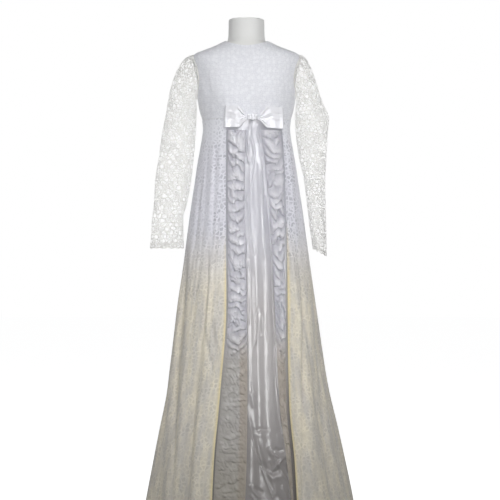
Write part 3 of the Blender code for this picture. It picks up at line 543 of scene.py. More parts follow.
def overskirt_coat():
    """Lace on its lining: cool white at the waist and lighter there with painted light, beige below and
    darker by the hem with painted shade, yellowed by its front edges; its gaps hold painted shade.
    """
    coat = Coat("skirt_lace")
    uv, height, away = coat.uv(), coat.height(), coat.edge()[0]
    thread = coat.lace(uv, 0.034, 0.0135, 0.0027)
    streaks = coat.waves(coat.vector("MULTIPLY", uv, (27.0, 6.0, 1.0)), 1.0, 5.0, 0.68)
    patch = coat.waves(uv, 30.0, 4.0, 0.65)
    low = coat.between(coat.sum("MULTIPLY_ADD", streaks, 0.26, height), 1.06, 0.82)
    # Painted light: the skirt's top is lighter, carrying the lit bodice's tone down to about 1.10 m.
    waist_light = coat.between(height, 1.10, 1.235)
    creamy = coat.between(streaks, 0.37, 0.63)

    def shaded(high, low_grey, low_cream, top):
        below = coat.mix(creamy, rgb(*low_grey), rgb(*low_cream))
        return coat.mix(waist_light, coat.mix(low, rgb(*high), below), rgb(*top))

    thread_colour = shaded((218, 218, 225), (209, 205, 198), (233, 226, 208), (226, 227, 232))
    # The gaps show the lining, darkened with painted shade as if shaded by the lace over it.
    gap_shade_colour = shaded((188, 188, 197), (182, 178, 172), (210, 202, 184), (206, 207, 214))
    border = coat.sum("MULTIPLY", coat.between(away, 0.050, 0.036), coat.between(height, 0.74, 0.86))
    bare = coat.sum("MULTIPLY", coat.between(patch, 0.38, 0.62, 0.30, 0.75),
                    coat.sum("MULTIPLY_ADD", border, 0.55, 0.70))
    gap = coat.sum("MULTIPLY", coat.sum("SUBTRACT", 1.0, thread), bare)
    colour = coat.mix(gap, thread_colour, gap_shade_colour)
    shade = coat.sum("MULTIPLY", coat.between(patch, 0.60, 0.40), coat.between(height, 1.235, 1.10))
    shade_colour = coat.mix(low, rgb(196, 196, 205), rgb(186, 180, 168))
    colour = coat.mix(coat.sum("MULTIPLY", shade, 0.22), colour, shade_colour)
    # Painted shade: darker towards the hem, where less light falls.
    wear_and_hem_shade = coat.between(height, 0.34, 0.08, 0.0, 0.14)
    colour = coat.mix(wear_and_hem_shade, colour, rgb(150, 146, 136))
    yellow = coat.sum("MULTIPLY", coat.between(away, 0.0130, 0.0020), low)
    colour = coat.mix(coat.sum("MULTIPLY", yellow, 0.75), colour, rgb(232, 217, 168))
    grain = coat.waves(uv, 700.0, 2.0)
    relief = coat.sum("MULTIPLY_ADD", grain, 0.35, thread)
    return coat.close(coat.surface(
        colour, coat.between(grain, 0.3, 0.7, 0.75, 0.95), relief, 0.35, 0.0004,
        alpha=coat.between(gap, 0.2, 0.8, 1.0, 0.90), sheen=0.2, specular=0.25))


def lining_coat():
    coat = Coat("lining_cloth")
    uv = coat.uv()
    patch = coat.waves(uv, 7.0, 3.0)
    low = coat.between(coat.sum("MULTIPLY_ADD", patch, 0.30, coat.height()), 1.15, 0.78)
    beige = coat.mix(patch, rgb(214, 204, 170), rgb(226, 216, 184))
    colour = coat.mix(low, rgb(206, 206, 216), beige)
    weave = coat.weave(uv, 420.0, 1.5)
    rough = coat.between(weave, 0, 1, 0.48, 0.62)
    return coat.close(coat.surface(colour, rough, weave, 0.25, 0.0002, sheen=0.15))


def sleeve_coat():
    """White thread that lets some light through."""
    coat = Coat("sleeve_thread")
    uv = coat.uv()
    colour = coat.mix(coat.waves(uv, 30.0, 3.0), rgb(243, 242, 238), rgb(253, 253, 251))
    twist = coat.waves(uv, 1100.0, 2.0)
    rough = coat.between(twist, 0.3, 0.7, 0.7, 0.92)
    shader = coat.surface(colour, rough, twist, 0.5, 0.0003, sheen=0.2)
    return coat.close(coat.let_through(shader, colour, 0.55))


def satin_coat(name, top, foot, wear_and_hem_shade):
    """Satin with its colours at the top and the foot, and where it's worn; darker by the hem with
    painted shade.
    """
    coat = Coat(name)
    uv, height = coat.uv(), coat.height()
    patch = coat.waves(uv, 11.0, 2.0)
    colour = coat.mix(coat.between(height, 0.95, 0.60), rgb(*top), rgb(*foot))
    colour = coat.mix(coat.sum("MULTIPLY", patch, 0.30), colour, rgb(*wear_and_hem_shade))
    # Painted shade: the satin darkens towards the hem, where less light falls.
    hem_shade = coat.between(height, 0.54, 0.16)
    colour = coat.mix(coat.sum("MULTIPLY", hem_shade, 0.62), colour, rgb(122, 117, 113))
    dull = coat.between(height, 0.72, 0.45, 0.16, 0.21)
    rough = coat.sum("MULTIPLY_ADD", patch, 0.06, dull)
    weave = coat.weave(uv, 700.0, 0.6)
    return coat.close(coat.surface(colour, rough, weave, 0.08, 0.0001, specular=1.0, sheen=0.1))


def organza_coat():
    """Sheer organza, lavender above and bluish grey below, tan where it lies by the satin.

    It is whiter on the puffs, partly where the cloth lies in two layers and partly as painted light, and
    darker by the hem with painted shade.
    """
    coat = Coat("organza_cloth")
    uv, height = coat.uv(), coat.height()
    away, puff_layers_and_light = coat.edge()
    patch = coat.waves(uv, 42.0, 3.0, 0.6)
    # Painted light on the puffs: whiter where the puff stands high, partly for its two layers of
    # organza, and darker in the hollows between.
    dense = coat.sum("MULTIPLY_ADD", coat.between(puff_layers_and_light, 0.25, 0.85), 0.62,
                     coat.sum("MULTIPLY", patch, 0.38))
    light = coat.mix(dense, rgb(199, 198, 207), rgb(251, 250, 254))
    grey = coat.mix(dense, rgb(182, 178, 173), rgb(218, 215, 211))
    tan = coat.mix(dense, rgb(181, 171, 160), rgb(213, 204, 194))
    by_satin = coat.between(coat.sum("MULTIPLY_ADD", patch, 0.014, away), 0.036, 0.026)
    grey = coat.mix(by_satin, grey, tan)
    # Painted shade: darker towards the hem, where less light falls.
    grey = coat.mix(coat.between(height, 0.34, 0.10, 0.0, 0.45), grey, rgb(172, 164, 146))
    colour = coat.mix(coat.between(height, 0.62, 0.48), light, grey)
    weave = coat.weave(uv, 500.0, 1.0)
    relief = coat.sum("MULTIPLY_ADD", weave, 0.1, coat.waves(uv, 160.0, 3.0, 0.65))
    rough = coat.between(weave, 0, 1, 0.34, 0.48)
    shader = coat.surface(colour, rough, relief, 0.35, 0.0016, sheen=0.3, specular=0.7)
    return coat.close(coat.let_through(shader, colour, 0.25))


def form_coat():
    coat = Coat("form_shell")
    place = coat.place()
    dust = coat.waves(place, 9.0, 4.0)
    colour = coat.mix(dust, rgb(222, 222, 220), rgb(233, 233, 232))
    rough = coat.between(dust, 0.3, 0.7, 0.45, 0.58)
    return coat.close(coat.surface(colour, rough, coat.waves(place, 380.0, 2.0), 0.12, 0.0002))


def steel_coat():
    """Steel brushed round the pole and the plate."""
    coat = Coat("stand_metal")
    parts = coat.node("SeparateXYZ", {0: coat.place()})
    round_way = coat.sum("ARCTAN2", parts.outputs["Y"], parts.outputs["X"])
    brushed = coat.node("CombineXYZ", {0: round_way, 1: parts.outputs["Z"], 2: 0.0}).outputs[0]
    lines = coat.waves(coat.vector("MULTIPLY", brushed, (3.0, 900.0, 1.0)), 1.0, 3.0)
    colour = coat.mix(lines, rgb(184, 185, 188), rgb(208, 209, 212))
    rough = coat.between(lines, 0.2, 0.8, 0.28, 0.42)
    return coat.close(coat.surface(colour, rough, lines, 0.15, 0.0001, metal=1.0))


# The dress form


def build_form(coat):
    heights = np.concatenate([
        np.linspace(FORM_BOTTOM + FORM_EDGE, 1.42, 120), np.linspace(1.4215, 1.50, 54),
        np.linspace(1.505, NECK_TOP - FORM_EDGE, 10)])
    angles = np.radians(np.arange(0, 361, 3))
    around, up = np.meshgrid(angles, heights)
    rows = [body(around, up)]
    for edge, sign in ((NECK_TOP, 1), (FORM_BOTTOM, -1)):
        last = rows[-1][-1] if sign > 0 else rows[0][0]
        lid = []
        for turn in (30, 60, 90):
            level = edge - sign * FORM_EDGE * (1 - math.sin(math.radians(turn)))
            share = 1 - (1 - FORM_EDGE_TRIM) * (1 - math.cos(math.radians(turn)))
            lid.append(last * (share, share, 0) + (0, 0, level))
        for share in (0.93, 0.75, 0.5, 0.25, 0.002):
            lid.append(last * (share, share, 0) + (0, 0, edge))
        lid = np.array(lid)
        rows = rows + [lid] if sign > 0 else [lid[::-1]] + rows
    points = np.concatenate(rows)
    points[:, -1] = points[:, 0]
    piece = grid_piece("dress_form", points, coat, ["form_torso"])
    weld(piece)
    return piece


def weld(piece):
    """Joins a piece's points that lie in one place."""
    mesh = bmesh.new()
    mesh.from_mesh(piece.data)
    bmesh.ops.remove_doubles(mesh, verts=mesh.verts, dist=WELD_DISTANCE)
    mesh.to_mesh(piece.data)
    mesh.free()


# The bodice


def neckline(angle):
    middle = np.where(np.cos(angle) > 0, NECKLINE_FRONT, NECKLINE_BACK)
    return middle + (NECKLINE_SIDE - middle) * np.sin(angle) ** 2


def bodice_height(angle, side_height):
    share = (side_height - EMPIRE_SEAM) / (NECKLINE_SIDE - EMPIRE_SEAM)
    return EMPIRE_SEAM + share * (neckline(angle) - EMPIRE_SEAM)


def bodice_sides():
    """Row heights at the side, with the armhole's bites into the front and the back."""
    below = np.linspace(EMPIRE_SEAM + SEAM + RIM_LEAN, UNDERARM, 14)[:-1]
    turns = np.linspace(math.pi, 0, 42)
    notch = UNDERARM + (SHOULDER_TIP - UNDERARM) * (1 + np.cos(turns)) / 2
    above = np.linspace(SHOULDER_TIP, NECKLINE_SIDE, 12)[1:]
    bite = np.concatenate([np.zeros(len(below)), np.sin(turns), np.zeros(len(above))])
    return np.concatenate([below, notch, above]), bite


BODICE_CREASES = [
    (-0.0026, 0.0030, [(-0.1145, 1.378), (-0.1125, 1.345), (-0.1085, 1.312)]),
    (0.0016, 0.0026, [(-0.1085, 1.376), (-0.1065, 1.345), (-0.1030, 1.318)]),
    (-0.0022, 0.0080, [(-0.137, 1.405), (-0.124, 1.350), (-0.104, 1.292)]),
    (-0.0022, 0.0026, [(0.1120, 1.372), (0.1160, 1.338), (0.1210, 1.300)]),
    (0.0016, 0.0030, [(0.1185, 1.378), (0.1235, 1.340), (0.1270, 1.302)]),
    (-0.0018, 0.0080, [(0.140, 1.402), (0.131, 1.350), (0.112, 1.296)]),
    (-0.0012, 0.0060, [(-0.100, 1.285), (-0.070, 1.262), (-0.045, 1.243)]),
    (-0.0010, 0.0055, [(0.110, 1.283), (0.090, 1.262), (0.074, 1.244)]),
    (0.0010, 0.0090, [(-0.150, 1.432), (-0.120, 1.422), (-0.090, 1.428)]),
    (0.0010, 0.0090, [(0.150, 1.432), (0.120, 1.420), (0.092, 1.427)]),
]


def bodice_panel(name, columns, edges, coat, creases=()):
    side_height, bite = bodice_sides()
    first, last = edges(side_height, bite)
    share = np.linspace(0, 1, columns + 1)
    angle = first[:, None] + (last - first)[:, None] * share
    height = bodice_height(angle, side_height[:, None])
    relief = 0.0
    if creases:
        relief = creased(body(angle, height)[..., 0], height, creases)
    wave = 0.0003 * noise(angle * 30, height * 60, 3)
    points = moved_out(body, angle, height, EASE + BODICE_CLOTH + relief + wave)
    return grid_piece(name, points, coat, [name])


def build_bodice(coat):
    def seam(height):
        return SEAM / 2 / radius(BODY, SIDE_SEAM, height)

    def front(height, bite):
        limit = math.pi / 2 - ARMHOLE_FRONT * bite - seam(height)
        return -limit, limit

    def back_right(height, bite):
        limit = math.pi / 2 + ARMHOLE_BACK * bite + seam(height)
        return limit, math.pi - SEAM / 2 / radius(BODY, math.pi, height)

    def back_left(height, bite):
        start, end = back_right(height, bite)
        return 2 * math.pi - end, 2 * math.pi - start

    return [
        bodice_panel("bodice_front", 90, front, coat, BODICE_CREASES),
        bodice_panel("bodice_back_right", 44, back_right, coat),
        bodice_panel("bodice_back_left", 44, back_left, coat),
    ]


# The skirts


def skirt_rows(hem, count):
    top = EMPIRE_SEAM - SEAM - RIM_LEAN
    return np.linspace(hem, top, count)


def front_gore_seam(height):
    widening = smooth_step(FRONT_GORE_STRAIGHT_BELOW, EMPIRE_SEAM, height)
    return FRONT_GORE_SEAM + (FRONT_GORE_SEAM_AT_TOP - FRONT_GORE_SEAM) * widening


def build_gores(coat):
    """The lining's side and back gores, which follow the lace's folds in a softer way."""
    height = skirt_rows(UNDERSKIRT_HEM, 130)
    gap = SEAM / SKIRT.at("front", height)
    seam = front_gore_seam(height)
    back = np.full_like(height, BACK_GORE_SEAM)
    turn = np.full_like(height, math.pi)
    made = []
    for name, start, end in (
        ("underskirt_side_right", seam, back), ("underskirt_back_right", back, turn),
        ("underskirt_back_left", turn, 2 * turn - back), ("underskirt_side_left", -back, -seam),
    ):
        share = np.linspace(0, 1, 40)
        angle = (start + gap)[:, None] + (end - start - 2 * gap)[:, None] * share
        up = np.broadcast_to(height[:, None], angle.shape)
        near_front = smooth_step(0.0, 0.3, np.abs(wrapped(angle)) - 0.95)
        out = SATIN + 0.45 * fold_depth(angle, up) * near_front
        made.append(grid_piece(name, moved_out(underskirt, angle, up, out), coat, [name]))
    return made


# The satin's soft pleats, its long highlights and its sharp creases, seen from the front: how far
# each stands out, its half width, and its line
SATIN_PLEATS = [
    (0.0042, 0.0095, [(0.030, 1.200), (0.040, 1.090), (0.050, 0.940), (0.058, 0.790), (0.063, 0.640)]),
    (0.0012, 0.0110, [(0.060, 0.740), (0.067, 0.585), (0.071, 0.420), (0.086, 0.300)]),
    (-0.0060, 0.0070, [(0.060, 1.000), (0.077, 0.860), (0.080, 0.700), (0.082, 0.540), (0.087, 0.420)]),
    (-0.0030, 0.0090, [(0.016, 1.150), (0.012, 1.040), (0.015, 0.930), (0.012, 0.820)]),
    (0.0030, 0.0120, [(0.010, 1.210), (0.014, 1.160), (0.020, 1.100)]),
    (-0.0035, 0.0060, [(0.046, 0.650), (0.040, 0.610), (0.040, 0.575)]),
    (-0.0035, 0.0060, [(0.010, 0.385), (0.022, 0.300), (0.040, 0.232), (0.062, 0.162), (0.088, 0.100)]),
    (-0.0016, 0.0050, [(0.018, 0.298), (0.042, 0.303), (0.070, 0.298)]),
    (0.0012, 0.0080, [(0.020, 0.284), (0.045, 0.287), (0.072, 0.282)]),
    (-0.0045, 0.0080, [(0.040, 0.205), (0.075, 0.175), (0.105, 0.185)]),
    (0.0040, 0.0080, [(0.046, 0.188), (0.078, 0.158), (0.112, 0.166)]),
    (-0.0050, 0.0080, [(0.086, 0.112), (0.104, 0.096), (0.120, 0.060)]),
]
SATIN_LINES = [
    # The crinkled left edge
    (0.0036, 0.0034, [(0.014, 1.236), (0.013, 1.205), (0.013, 1.178), (0.021, 1.150), (0.024, 1.118)]),
    (0.0034, 0.0034, [(0.003, 1.172), (0.006, 1.150), (0.003, 1.122), (0.009, 1.090)]),
    (0.0038, 0.0036, [(0.023, 1.125), (0.020, 1.091), (0.014, 1.040), (0.009, 1.010), (0.000, 0.985)]),
    (0.0036, 0.0036, [(-0.001, 0.996), (0.006, 0.972), (0.007, 0.935), (0.011, 0.885), (0.010, 0.868)]),
    (0.0032, 0.0036, [(0.011, 0.878), (0.004, 0.850), (0.002, 0.826), (0.006, 0.808)]),
    (0.0030, 0.0036, [(0.006, 0.816), (-0.002, 0.804), (-0.006, 0.795), (0.004, 0.782), (0.002, 0.750)]),
    (0.0028, 0.0036, [(0.002, 0.760), (0.003, 0.715), (0.002, 0.660), (0.003, 0.620)]),
    (0.0024, 0.0036, [(0.002, 0.635), (0.004, 0.590), (0.006, 0.530), (0.008, 0.465), (0.006, 0.385)]),
    # The long crest
    (0.0034, 0.0034, [(0.036, 1.215), (0.036, 1.180), (0.040, 1.150)]),
    (0.0032, 0.0034, [(0.044, 1.120), (0.046, 1.060), (0.049, 0.950), (0.053, 0.860), (0.057, 0.790)]),
    # Short highlights beside it
    (0.0036, 0.0034, [(0.018, 0.868), (0.020, 0.848), (0.025, 0.815)]),
    (0.0040, 0.0036, [(0.036, 0.668), (0.030, 0.640), (0.029, 0.590), (0.028, 0.560), (0.018, 0.532)]),
    (0.0036, 0.0034, [(0.016, 0.445), (0.020, 0.415), (0.030, 0.395)]),
    (0.0046, 0.0050, [(0.012, 0.412), (0.018, 0.394), (0.024, 0.362)]),
]
SATIN_CREASES = [
    # The crinkles on the right
    (0.0042, 0.0040, [(0.066, 0.868), (0.074, 0.850), (0.082, 0.832), (0.078, 0.800), (0.076, 0.770)]),
    (0.0040, 0.0032, [(0.096, 0.590), (0.086, 0.540), (0.083, 0.500), (0.090, 0.420),
                      (0.100, 0.330), (0.116, 0.250)]),
    (0.0036, 0.0028, [(0.082, 0.600), (0.092, 0.550), (0.094, 0.450), (0.103, 0.360)]),
    (0.0040, 0.0032, [(0.098, 0.400), (0.103, 0.350), (0.112, 0.305)]),
    # Fine line from the ruffle down to the hem
    (0.0040, 0.0028, [(0.004, 0.350), (0.016, 0.290), (0.033, 0.226), (0.054, 0.165),
                      (0.078, 0.100), (0.106, 0.055)]),
    # The crumpled star
    (0.0070, 0.0044, [(0.062, 0.248), (0.076, 0.226), (0.086, 0.202), (0.100, 0.196)]),
    (0.0070, 0.0044, [(0.122, 0.222), (0.104, 0.214), (0.088, 0.196), (0.074, 0.176)]),
    (0.0060, 0.0040, [(0.066, 0.230), (0.084, 0.226), (0.102, 0.216)]),
    (0.0066, 0.0042, [(0.090, 0.206), (0.102, 0.178), (0.116, 0.160), (0.126, 0.146)]),
    (-0.0050, 0.0050, [(0.080, 0.246), (0.096, 0.238), (0.112, 0.242)]),
    (-0.0055, 0.0060, [(0.104, 0.206), (0.114, 0.192), (0.126, 0.184)]),
    (-0.0050, 0.0060, [(0.066, 0.208), (0.074, 0.190), (0.076, 0.172)]),
    # The crumpled foot
    (0.0075, 0.0050, [(0.010, 0.144), (0.022, 0.124), (0.034, 0.106), (0.038, 0.080)]),
    (0.0070, 0.0055, [(0.032, 0.118), (0.050, 0.094), (0.062, 0.062), (0.072, 0.030)]),
    (0.0060, 0.0045, [(0.012, 0.118), (0.026, 0.096), (0.030, 0.062)]),
    (-0.0060, 0.0060, [(0.024, 0.136), (0.036, 0.124), (0.048, 0.116)]),
    (-0.0060, 0.0070, [(0.044, 0.080), (0.050, 0.056), (0.052, 0.026)]),
    (0.0045, 0.0060, [(0.100, 0.136), (0.114, 0.118), (0.124, 0.090)]),
    (0.0050, 0.0055, [(0.084, 0.086), (0.098, 0.074), (0.110, 0.040)]),
    (0.0045, 0.0060, [(0.010, 0.080), (0.014, 0.050), (0.016, 0.022)]),
]


def satin_rise(across, height):
    """The satin's soft pleats between the ruffles, by the share of the way across."""
    shares = np.array([-0.001, 0.0, 0.12, 0.35, 0.62, 0.76, 1.0, 1.001])
    rises = np.array([0.0, 0.003, 0.006, 0.0, 0.007, 0.006, -0.002, 0.0])
    dense = np.linspace(0, 1, 400)
    curve = smooth_curve(shares[1:-1], rises[1:-1], dense)
    inside = (across >= 0) & (across <= 1)
    rise = np.where(inside, np.interp(across, dense, curve), 0.0)
    edge = np.where(across < 0, 0.003 * np.clip(1 + across * 4, 0, 1), 0.0)
    return (rise + edge) * smooth_step(SATIN_FOLD_TOP, SATIN_FOLD_FULL, height)


def satin_height(x, height):
    """How far the satin stands out of the underskirt's inner face, without its cloth."""
    left, right = FRONT.at("satin_left", height), FRONT.at("satin_right", height)
    return satin_rise((x - left) / (right - left), height)


def build_satin(coat):
    height = skirt_rows(UNDERSKIRT_HEM, 400)
    gap = SEAM / SKIRT.at("front", height)
    seam = front_gore_seam(height) - 2 * gap
    stops = [-seam]
    for edge in ("lace_left", "satin_left", "satin_right", "lace_right"):
        stops.append(angle_across(FRONT.at(edge, height), height))
    stops.append(seam)
    parts = []
    for start, end, count in zip(stops, stops[1:], (8, 12, 78, 10, 8)):
        share = np.linspace(0, 1, count, endpoint=False)
        parts.append(start[:, None] + (end - start)[:, None] * share)
    parts.append(stops[-1][:, None])
    angle = np.concatenate(parts, 1)
    up = np.broadcast_to(height[:, None], angle.shape)
    x = underskirt(angle, up)[..., 0]
    bare = smooth_step(-0.006, 0.006, x - FRONT.at("satin_left", up))
    bare = bare * smooth_step(0.006, -0.006, x - FRONT.at("satin_right", up))
    crumple = crisp(x, up, SATIN_CREASES) + creased(x, up, SATIN_PLEATS)
    crumple = (crumple + crisp(x, up, SATIN_LINES, 6.0)) * bare
    fine = 0.0006 * puffs(x * 60, up * 22, 8) + 0.0003 * puffs(x * 160, up * 90, 9)
    relief = crumple + fine * bare
    points = moved_out(underskirt, angle, up, satin_height(x, up) + SATIN + relief)
    return grid_piece("underskirt_front", points, coat, ["underskirt_front"])


# Creases of the lace overskirt: how far each stands out, its half width, and its line in front
LACE_CREASES = [
    (-0.0075, 0.0070, [(-0.182, 0.88), (-0.188, 0.76), (-0.196, 0.62), (-0.212, 0.46), (-0.224, 0.06)]),
    (0.0041, 0.0100, [(-0.168, 0.86), (-0.174, 0.70), (-0.190, 0.46), (-0.202, 0.10)]),
    (0.0034, 0.0090, [(-0.198, 0.80), (-0.210, 0.62), (-0.228, 0.46), (-0.245, 0.10)]),
    (-0.0044, 0.0036, [(-0.114, 0.835), (-0.118, 0.72), (-0.126, 0.62), (-0.138, 0.53)]),
    (0.0031, 0.0060, [(-0.106, 0.835), (-0.109, 0.72), (-0.117, 0.62), (-0.127, 0.55)]),
    (-0.0037, 0.0050, [(-0.110, 0.650), (-0.097, 0.575), (-0.082, 0.500), (-0.076, 0.430)]),
    (0.0031, 0.0060, [(-0.098, 0.640), (-0.086, 0.575), (-0.072, 0.510)]),
    (-0.0034, 0.0055, [(-0.130, 0.600), (-0.112, 0.520), (-0.092, 0.440)]),
    (-0.0041, 0.0070, [(-0.150, 0.46), (-0.162, 0.28), (-0.176, 0.05)]),
    (0.0027, 0.0090, [(-0.136, 0.44), (-0.146, 0.28), (-0.156, 0.05)]),
    (-0.0031, 0.0060, [(-0.138, 1.08), (-0.149, 0.94), (-0.160, 0.82)]),
    (-0.0024, 0.0060, [(-0.090, 1.17), (-0.097, 1.02), (-0.103, 0.86)]),
    (0.0022, 0.0070, [(-0.100, 1.17), (-0.108, 1.02), (-0.113, 0.86)]),
    (-0.0020, 0.0055, [(-0.116, 1.18), (-0.124, 1.04), (-0.132, 0.90)]),
    (-0.0068, 0.0050, [(0.171, 0.74), (0.173, 0.60), (0.170, 0.40), (0.166, 0.05)]),
    (0.0054, 0.0130, [(0.190, 0.74), (0.192, 0.60), (0.191, 0.40), (0.194, 0.05)]),
    (-0.0031, 0.0130, [(0.142, 0.70), (0.143, 0.50), (0.150, 0.30), (0.156, 0.06)]),
    (-0.0027, 0.0060, [(0.122, 1.14), (0.130, 1.00), (0.142, 0.84)]),
    (0.0024, 0.0070, [(0.130, 1.16), (0.140, 1.00), (0.152, 0.84)]),
    (-0.0022, 0.0050, [(0.112, 1.12), (0.117, 0.98), (0.124, 0.86)]),
    (-0.0041, 0.0080, [(0.214, 0.62), (0.226, 0.40), (0.252, 0.10)]),
    (-0.0024, 0.0070, [(0.196, 0.80), (0.206, 0.66), (0.216, 0.50)]),
]
# The same at the back: degrees round, how far each stands out, its half width, its top and foot
BACK_CREASES = [
    (100, 0.0030, 0.006, 1.00, 0.10), (124, -0.0035, 0.006, 0.95, 0.04),
    (131, 0.0030, 0.005, 0.80, 0.20), (150, -0.0040, 0.006, 1.05, 0.10),
    (157, 0.0025, 0.005, 0.70, 0.03), (171, -0.0035, 0.006, 0.90, 0.20),
    (187, -0.0030, 0.005, 1.00, 0.30), (194, 0.0030, 0.006, 0.75, 0.05),
    (206, -0.0040, 0.006, 1.06, 0.12), (221, 0.0028, 0.005, 0.85, 0.30),
    (231, -0.0038, 0.006, 0.98, 0.03), (249, -0.0030, 0.006, 0.72, 0.08),
    (257, 0.0030, 0.006, 0.95, 0.24), (265, -0.0035, 0.005, 0.88, 0.05),
]


def back_creases(angle, height):
    total = np.zeros(np.shape(angle))
    for k, (degrees, depth, half_width, top, foot) in enumerate(BACK_CREASES):
        line = math.radians(degrees) + 0.03 * np.sin(height * 4 + k)
        away = (angle - line) * radius(SKIRT, angle, height) / half_width
        share = np.clip((height - foot) / (top - foot), 0, 1)
        total += depth * np.sqrt(4 * share * (1 - share)) * np.exp(-away * away)
    return total


def overskirt_relief(angle, height):
    x = overskirt(angle, height)[..., 0]
    front = creased(x, height, LACE_CREASES) * (np.abs(wrapped(angle)) < math.pi / 2)
    streaks = noise(angle * 46, height * 5, 21) * 0.0011 + noise(angle * 110, height * 9, 22) * 0.0005
    grown = smooth_step(1.20, 0.80, height)
    return front + back_creases(angle % (2 * math.pi), height) + streaks * grown


def lace_edge(side, height):
    x = FRONT.at(side, height)
    return angle_across(x + np.copysign(LACE_EDGE_GAP, x), height)


def build_overskirt(coat):
    height = skirt_rows(OVERSKIRT_HEM, 230)
    gap = SEAM / SKIRT.at("front", height)
    side = np.full_like(height, SIDE_SEAM)
    turn = np.full_like(height, math.pi)
    made = []
    for name, start, end, columns in (
        ("overskirt_front_right", lace_edge("lace_right", height), side - gap, 70),
        ("overskirt_front_left", -side + gap, lace_edge("lace_left", height), 76),
        ("overskirt_back_right", side + gap, turn - gap, 110),
        ("overskirt_back_left", turn + gap, 2 * turn - side - gap, 110),
    ):
        share = np.linspace(0, 1, columns)
        angle = start[:, None] + (end - start)[:, None] * share
        up = np.broadcast_to(height[:, None], angle.shape)
        grown = smooth_step(EMPIRE_SEAM, RELIEF_REACHED, up)
        relief = overskirt_relief(angle, up) * grown
        edge = np.minimum(1, np.minimum(share, 1 - share) * columns / 4)
        free = 0.5
        if name.startswith("overskirt_front"):
            free = share if "right" in name else 1 - share
            free = free * steps_across(overskirt(angle, up)).sum(1)[:, None]
        tuck = EDGE_TUCK * np.exp(-((free / EDGE_TUCK_WIDTH) ** 2)) * grown
        points = moved_out(overskirt, angle, up, LACE + relief * edge - tuck)
        edge_uv = np.stack(np.broadcast_arrays(free, up), -1)
        made.append(grid_piece(name, points, coat, [name], edge_uv))
    return made


def lap_strip(name, surface, stand_off, height, coat):
    """The lap over the back fastening, slightly rounded across."""
    half = LAP_WIDTH / 2 / surface(math.pi, height)[..., 1]
    share = np.linspace(-1, 1, 9)
    angle = math.pi + half[:, None] * share
    up = np.broadcast_to(height[:, None], angle.shape)
    out = stand_off + LACE + 0.0004 * (1 - share**2) + 0.0002 * noise(angle * 40, up * 90, 5)
    return grid_piece(name, moved_out(surface, angle, up, out), coat, [name])


def build_laps(coat):
    side_height, bite = bodice_sides()
    bodice = bodice_height(np.full_like(side_height, math.pi), side_height)
    skirt = np.linspace(LAP_FOOT + 0.005, EMPIRE_SEAM - SEAM - RIM_LEAN, 40)
    return [
        lap_strip("back_lap_bodice", body, EASE + BODICE_CLOTH + 2 * SEAM, bodice, coat),
        lap_strip("back_lap_skirt", overskirt, LACE + 2 * SEAM + 0.001, skirt, coat),
    ]


# The ruffles


def build_ruffle(name, outer, inner, coat, seed):
    """A strip of organza caught down at both edges, in uneven curling puffs."""
    swags, steps, columns = RUFFLE_SWAGS, 22, 42
    pitch = (RUFFLE_TOP - RUFFLE_HEM) / swags
    t = np.linspace(0, swags, swags * steps + 1)[:, None]
    share = np.linspace(0, 1, columns + 1)[None]
    height = np.broadcast_to(RUFFLE_TOP - pitch * t, (t.shape[0], columns + 1))
    low = smooth_step(0.60, 0.50, height)
    start, end = FRONT.at(outer, height), FRONT.at(inner, height)
    way = np.copysign(RUFFLE_EDGE_GAP, end - start)
    x = start + way + (end - start - 2 * way) * share
    angle = angle_across(x, height)
    curl = 0.62 * puffs(share * 2.3, t * 0.8, seed) + 0.34 * puffs(share * 4.1, t * 1.7, seed + 1)
    first = np.abs(np.sin(np.pi * (t + curl))) ** 0.72
    across = 0.55 + 0.30 * puffs(share * 0.9, t * 0.6, seed + 2)
    place = 1.15 * t + 0.5 + 0.8 * puffs(share * 2.0, t * 0.7, seed + 3)
    second = np.abs(np.sin(np.pi * place)) ** 0.72
    pick = smooth_step(-0.14, 0.14, share - across)
    small = np.abs(puffs(share * 5.5, t * 2.6, seed + 4))
    size = 0.80 + 0.35 * puffs(share * 1.4, t * 0.75, seed + 5)
    puff = ((first * (1 - pick) + second * pick) * 0.80 + 0.30 * small) * size
    bulge = np.clip(1 - (2 * share - 1) ** 2, 0, 1)
    puff = puff * bulge**0.45
    # The puff's share, handed to the organza's colour: partly its two layers, partly painted light on
    # the crests and painted shade in the hollows.
    puff_layers_and_light = np.clip(puff, 0, 1)
    puff = puff * RUFFLE_RISE * PUFF_LIFT * (1 - LIFT_LOST_BELOW * low)
    crumple = 0.0034 * np.abs(puffs(x * 120 + height * 50, height * 80, seed + 6))
    crumple = crumple + 0.0011 * np.abs(puffs(x * 330, height * 260, seed + 7)) - 0.0008
    rest = satin_height(x, height) + SATIN + LAYER_GAP + RUFFLE_CLOTH * 0.5
    out = rest + np.maximum(puff + crumple * bulge**0.4, 0)
    points = moved_out(underskirt, angle, height, out)[::-1]
    droop = PUFF_DROOP * (out - rest) * smooth_step(0, 2, np.minimum(t, swags - t))
    points[..., 2] -= droop[::-1]
    near_satin = np.abs(x - FRONT.at(inner, height))[::-1]
    edge_uv = np.stack([near_satin, puff_layers_and_light[::-1]], -1)
    if outer == "lace_right":
        points, edge_uv = points[:, ::-1], edge_uv[:, ::-1]
    return grid_piece(name, points, coat, [name], edge_uv)


# The sleeves


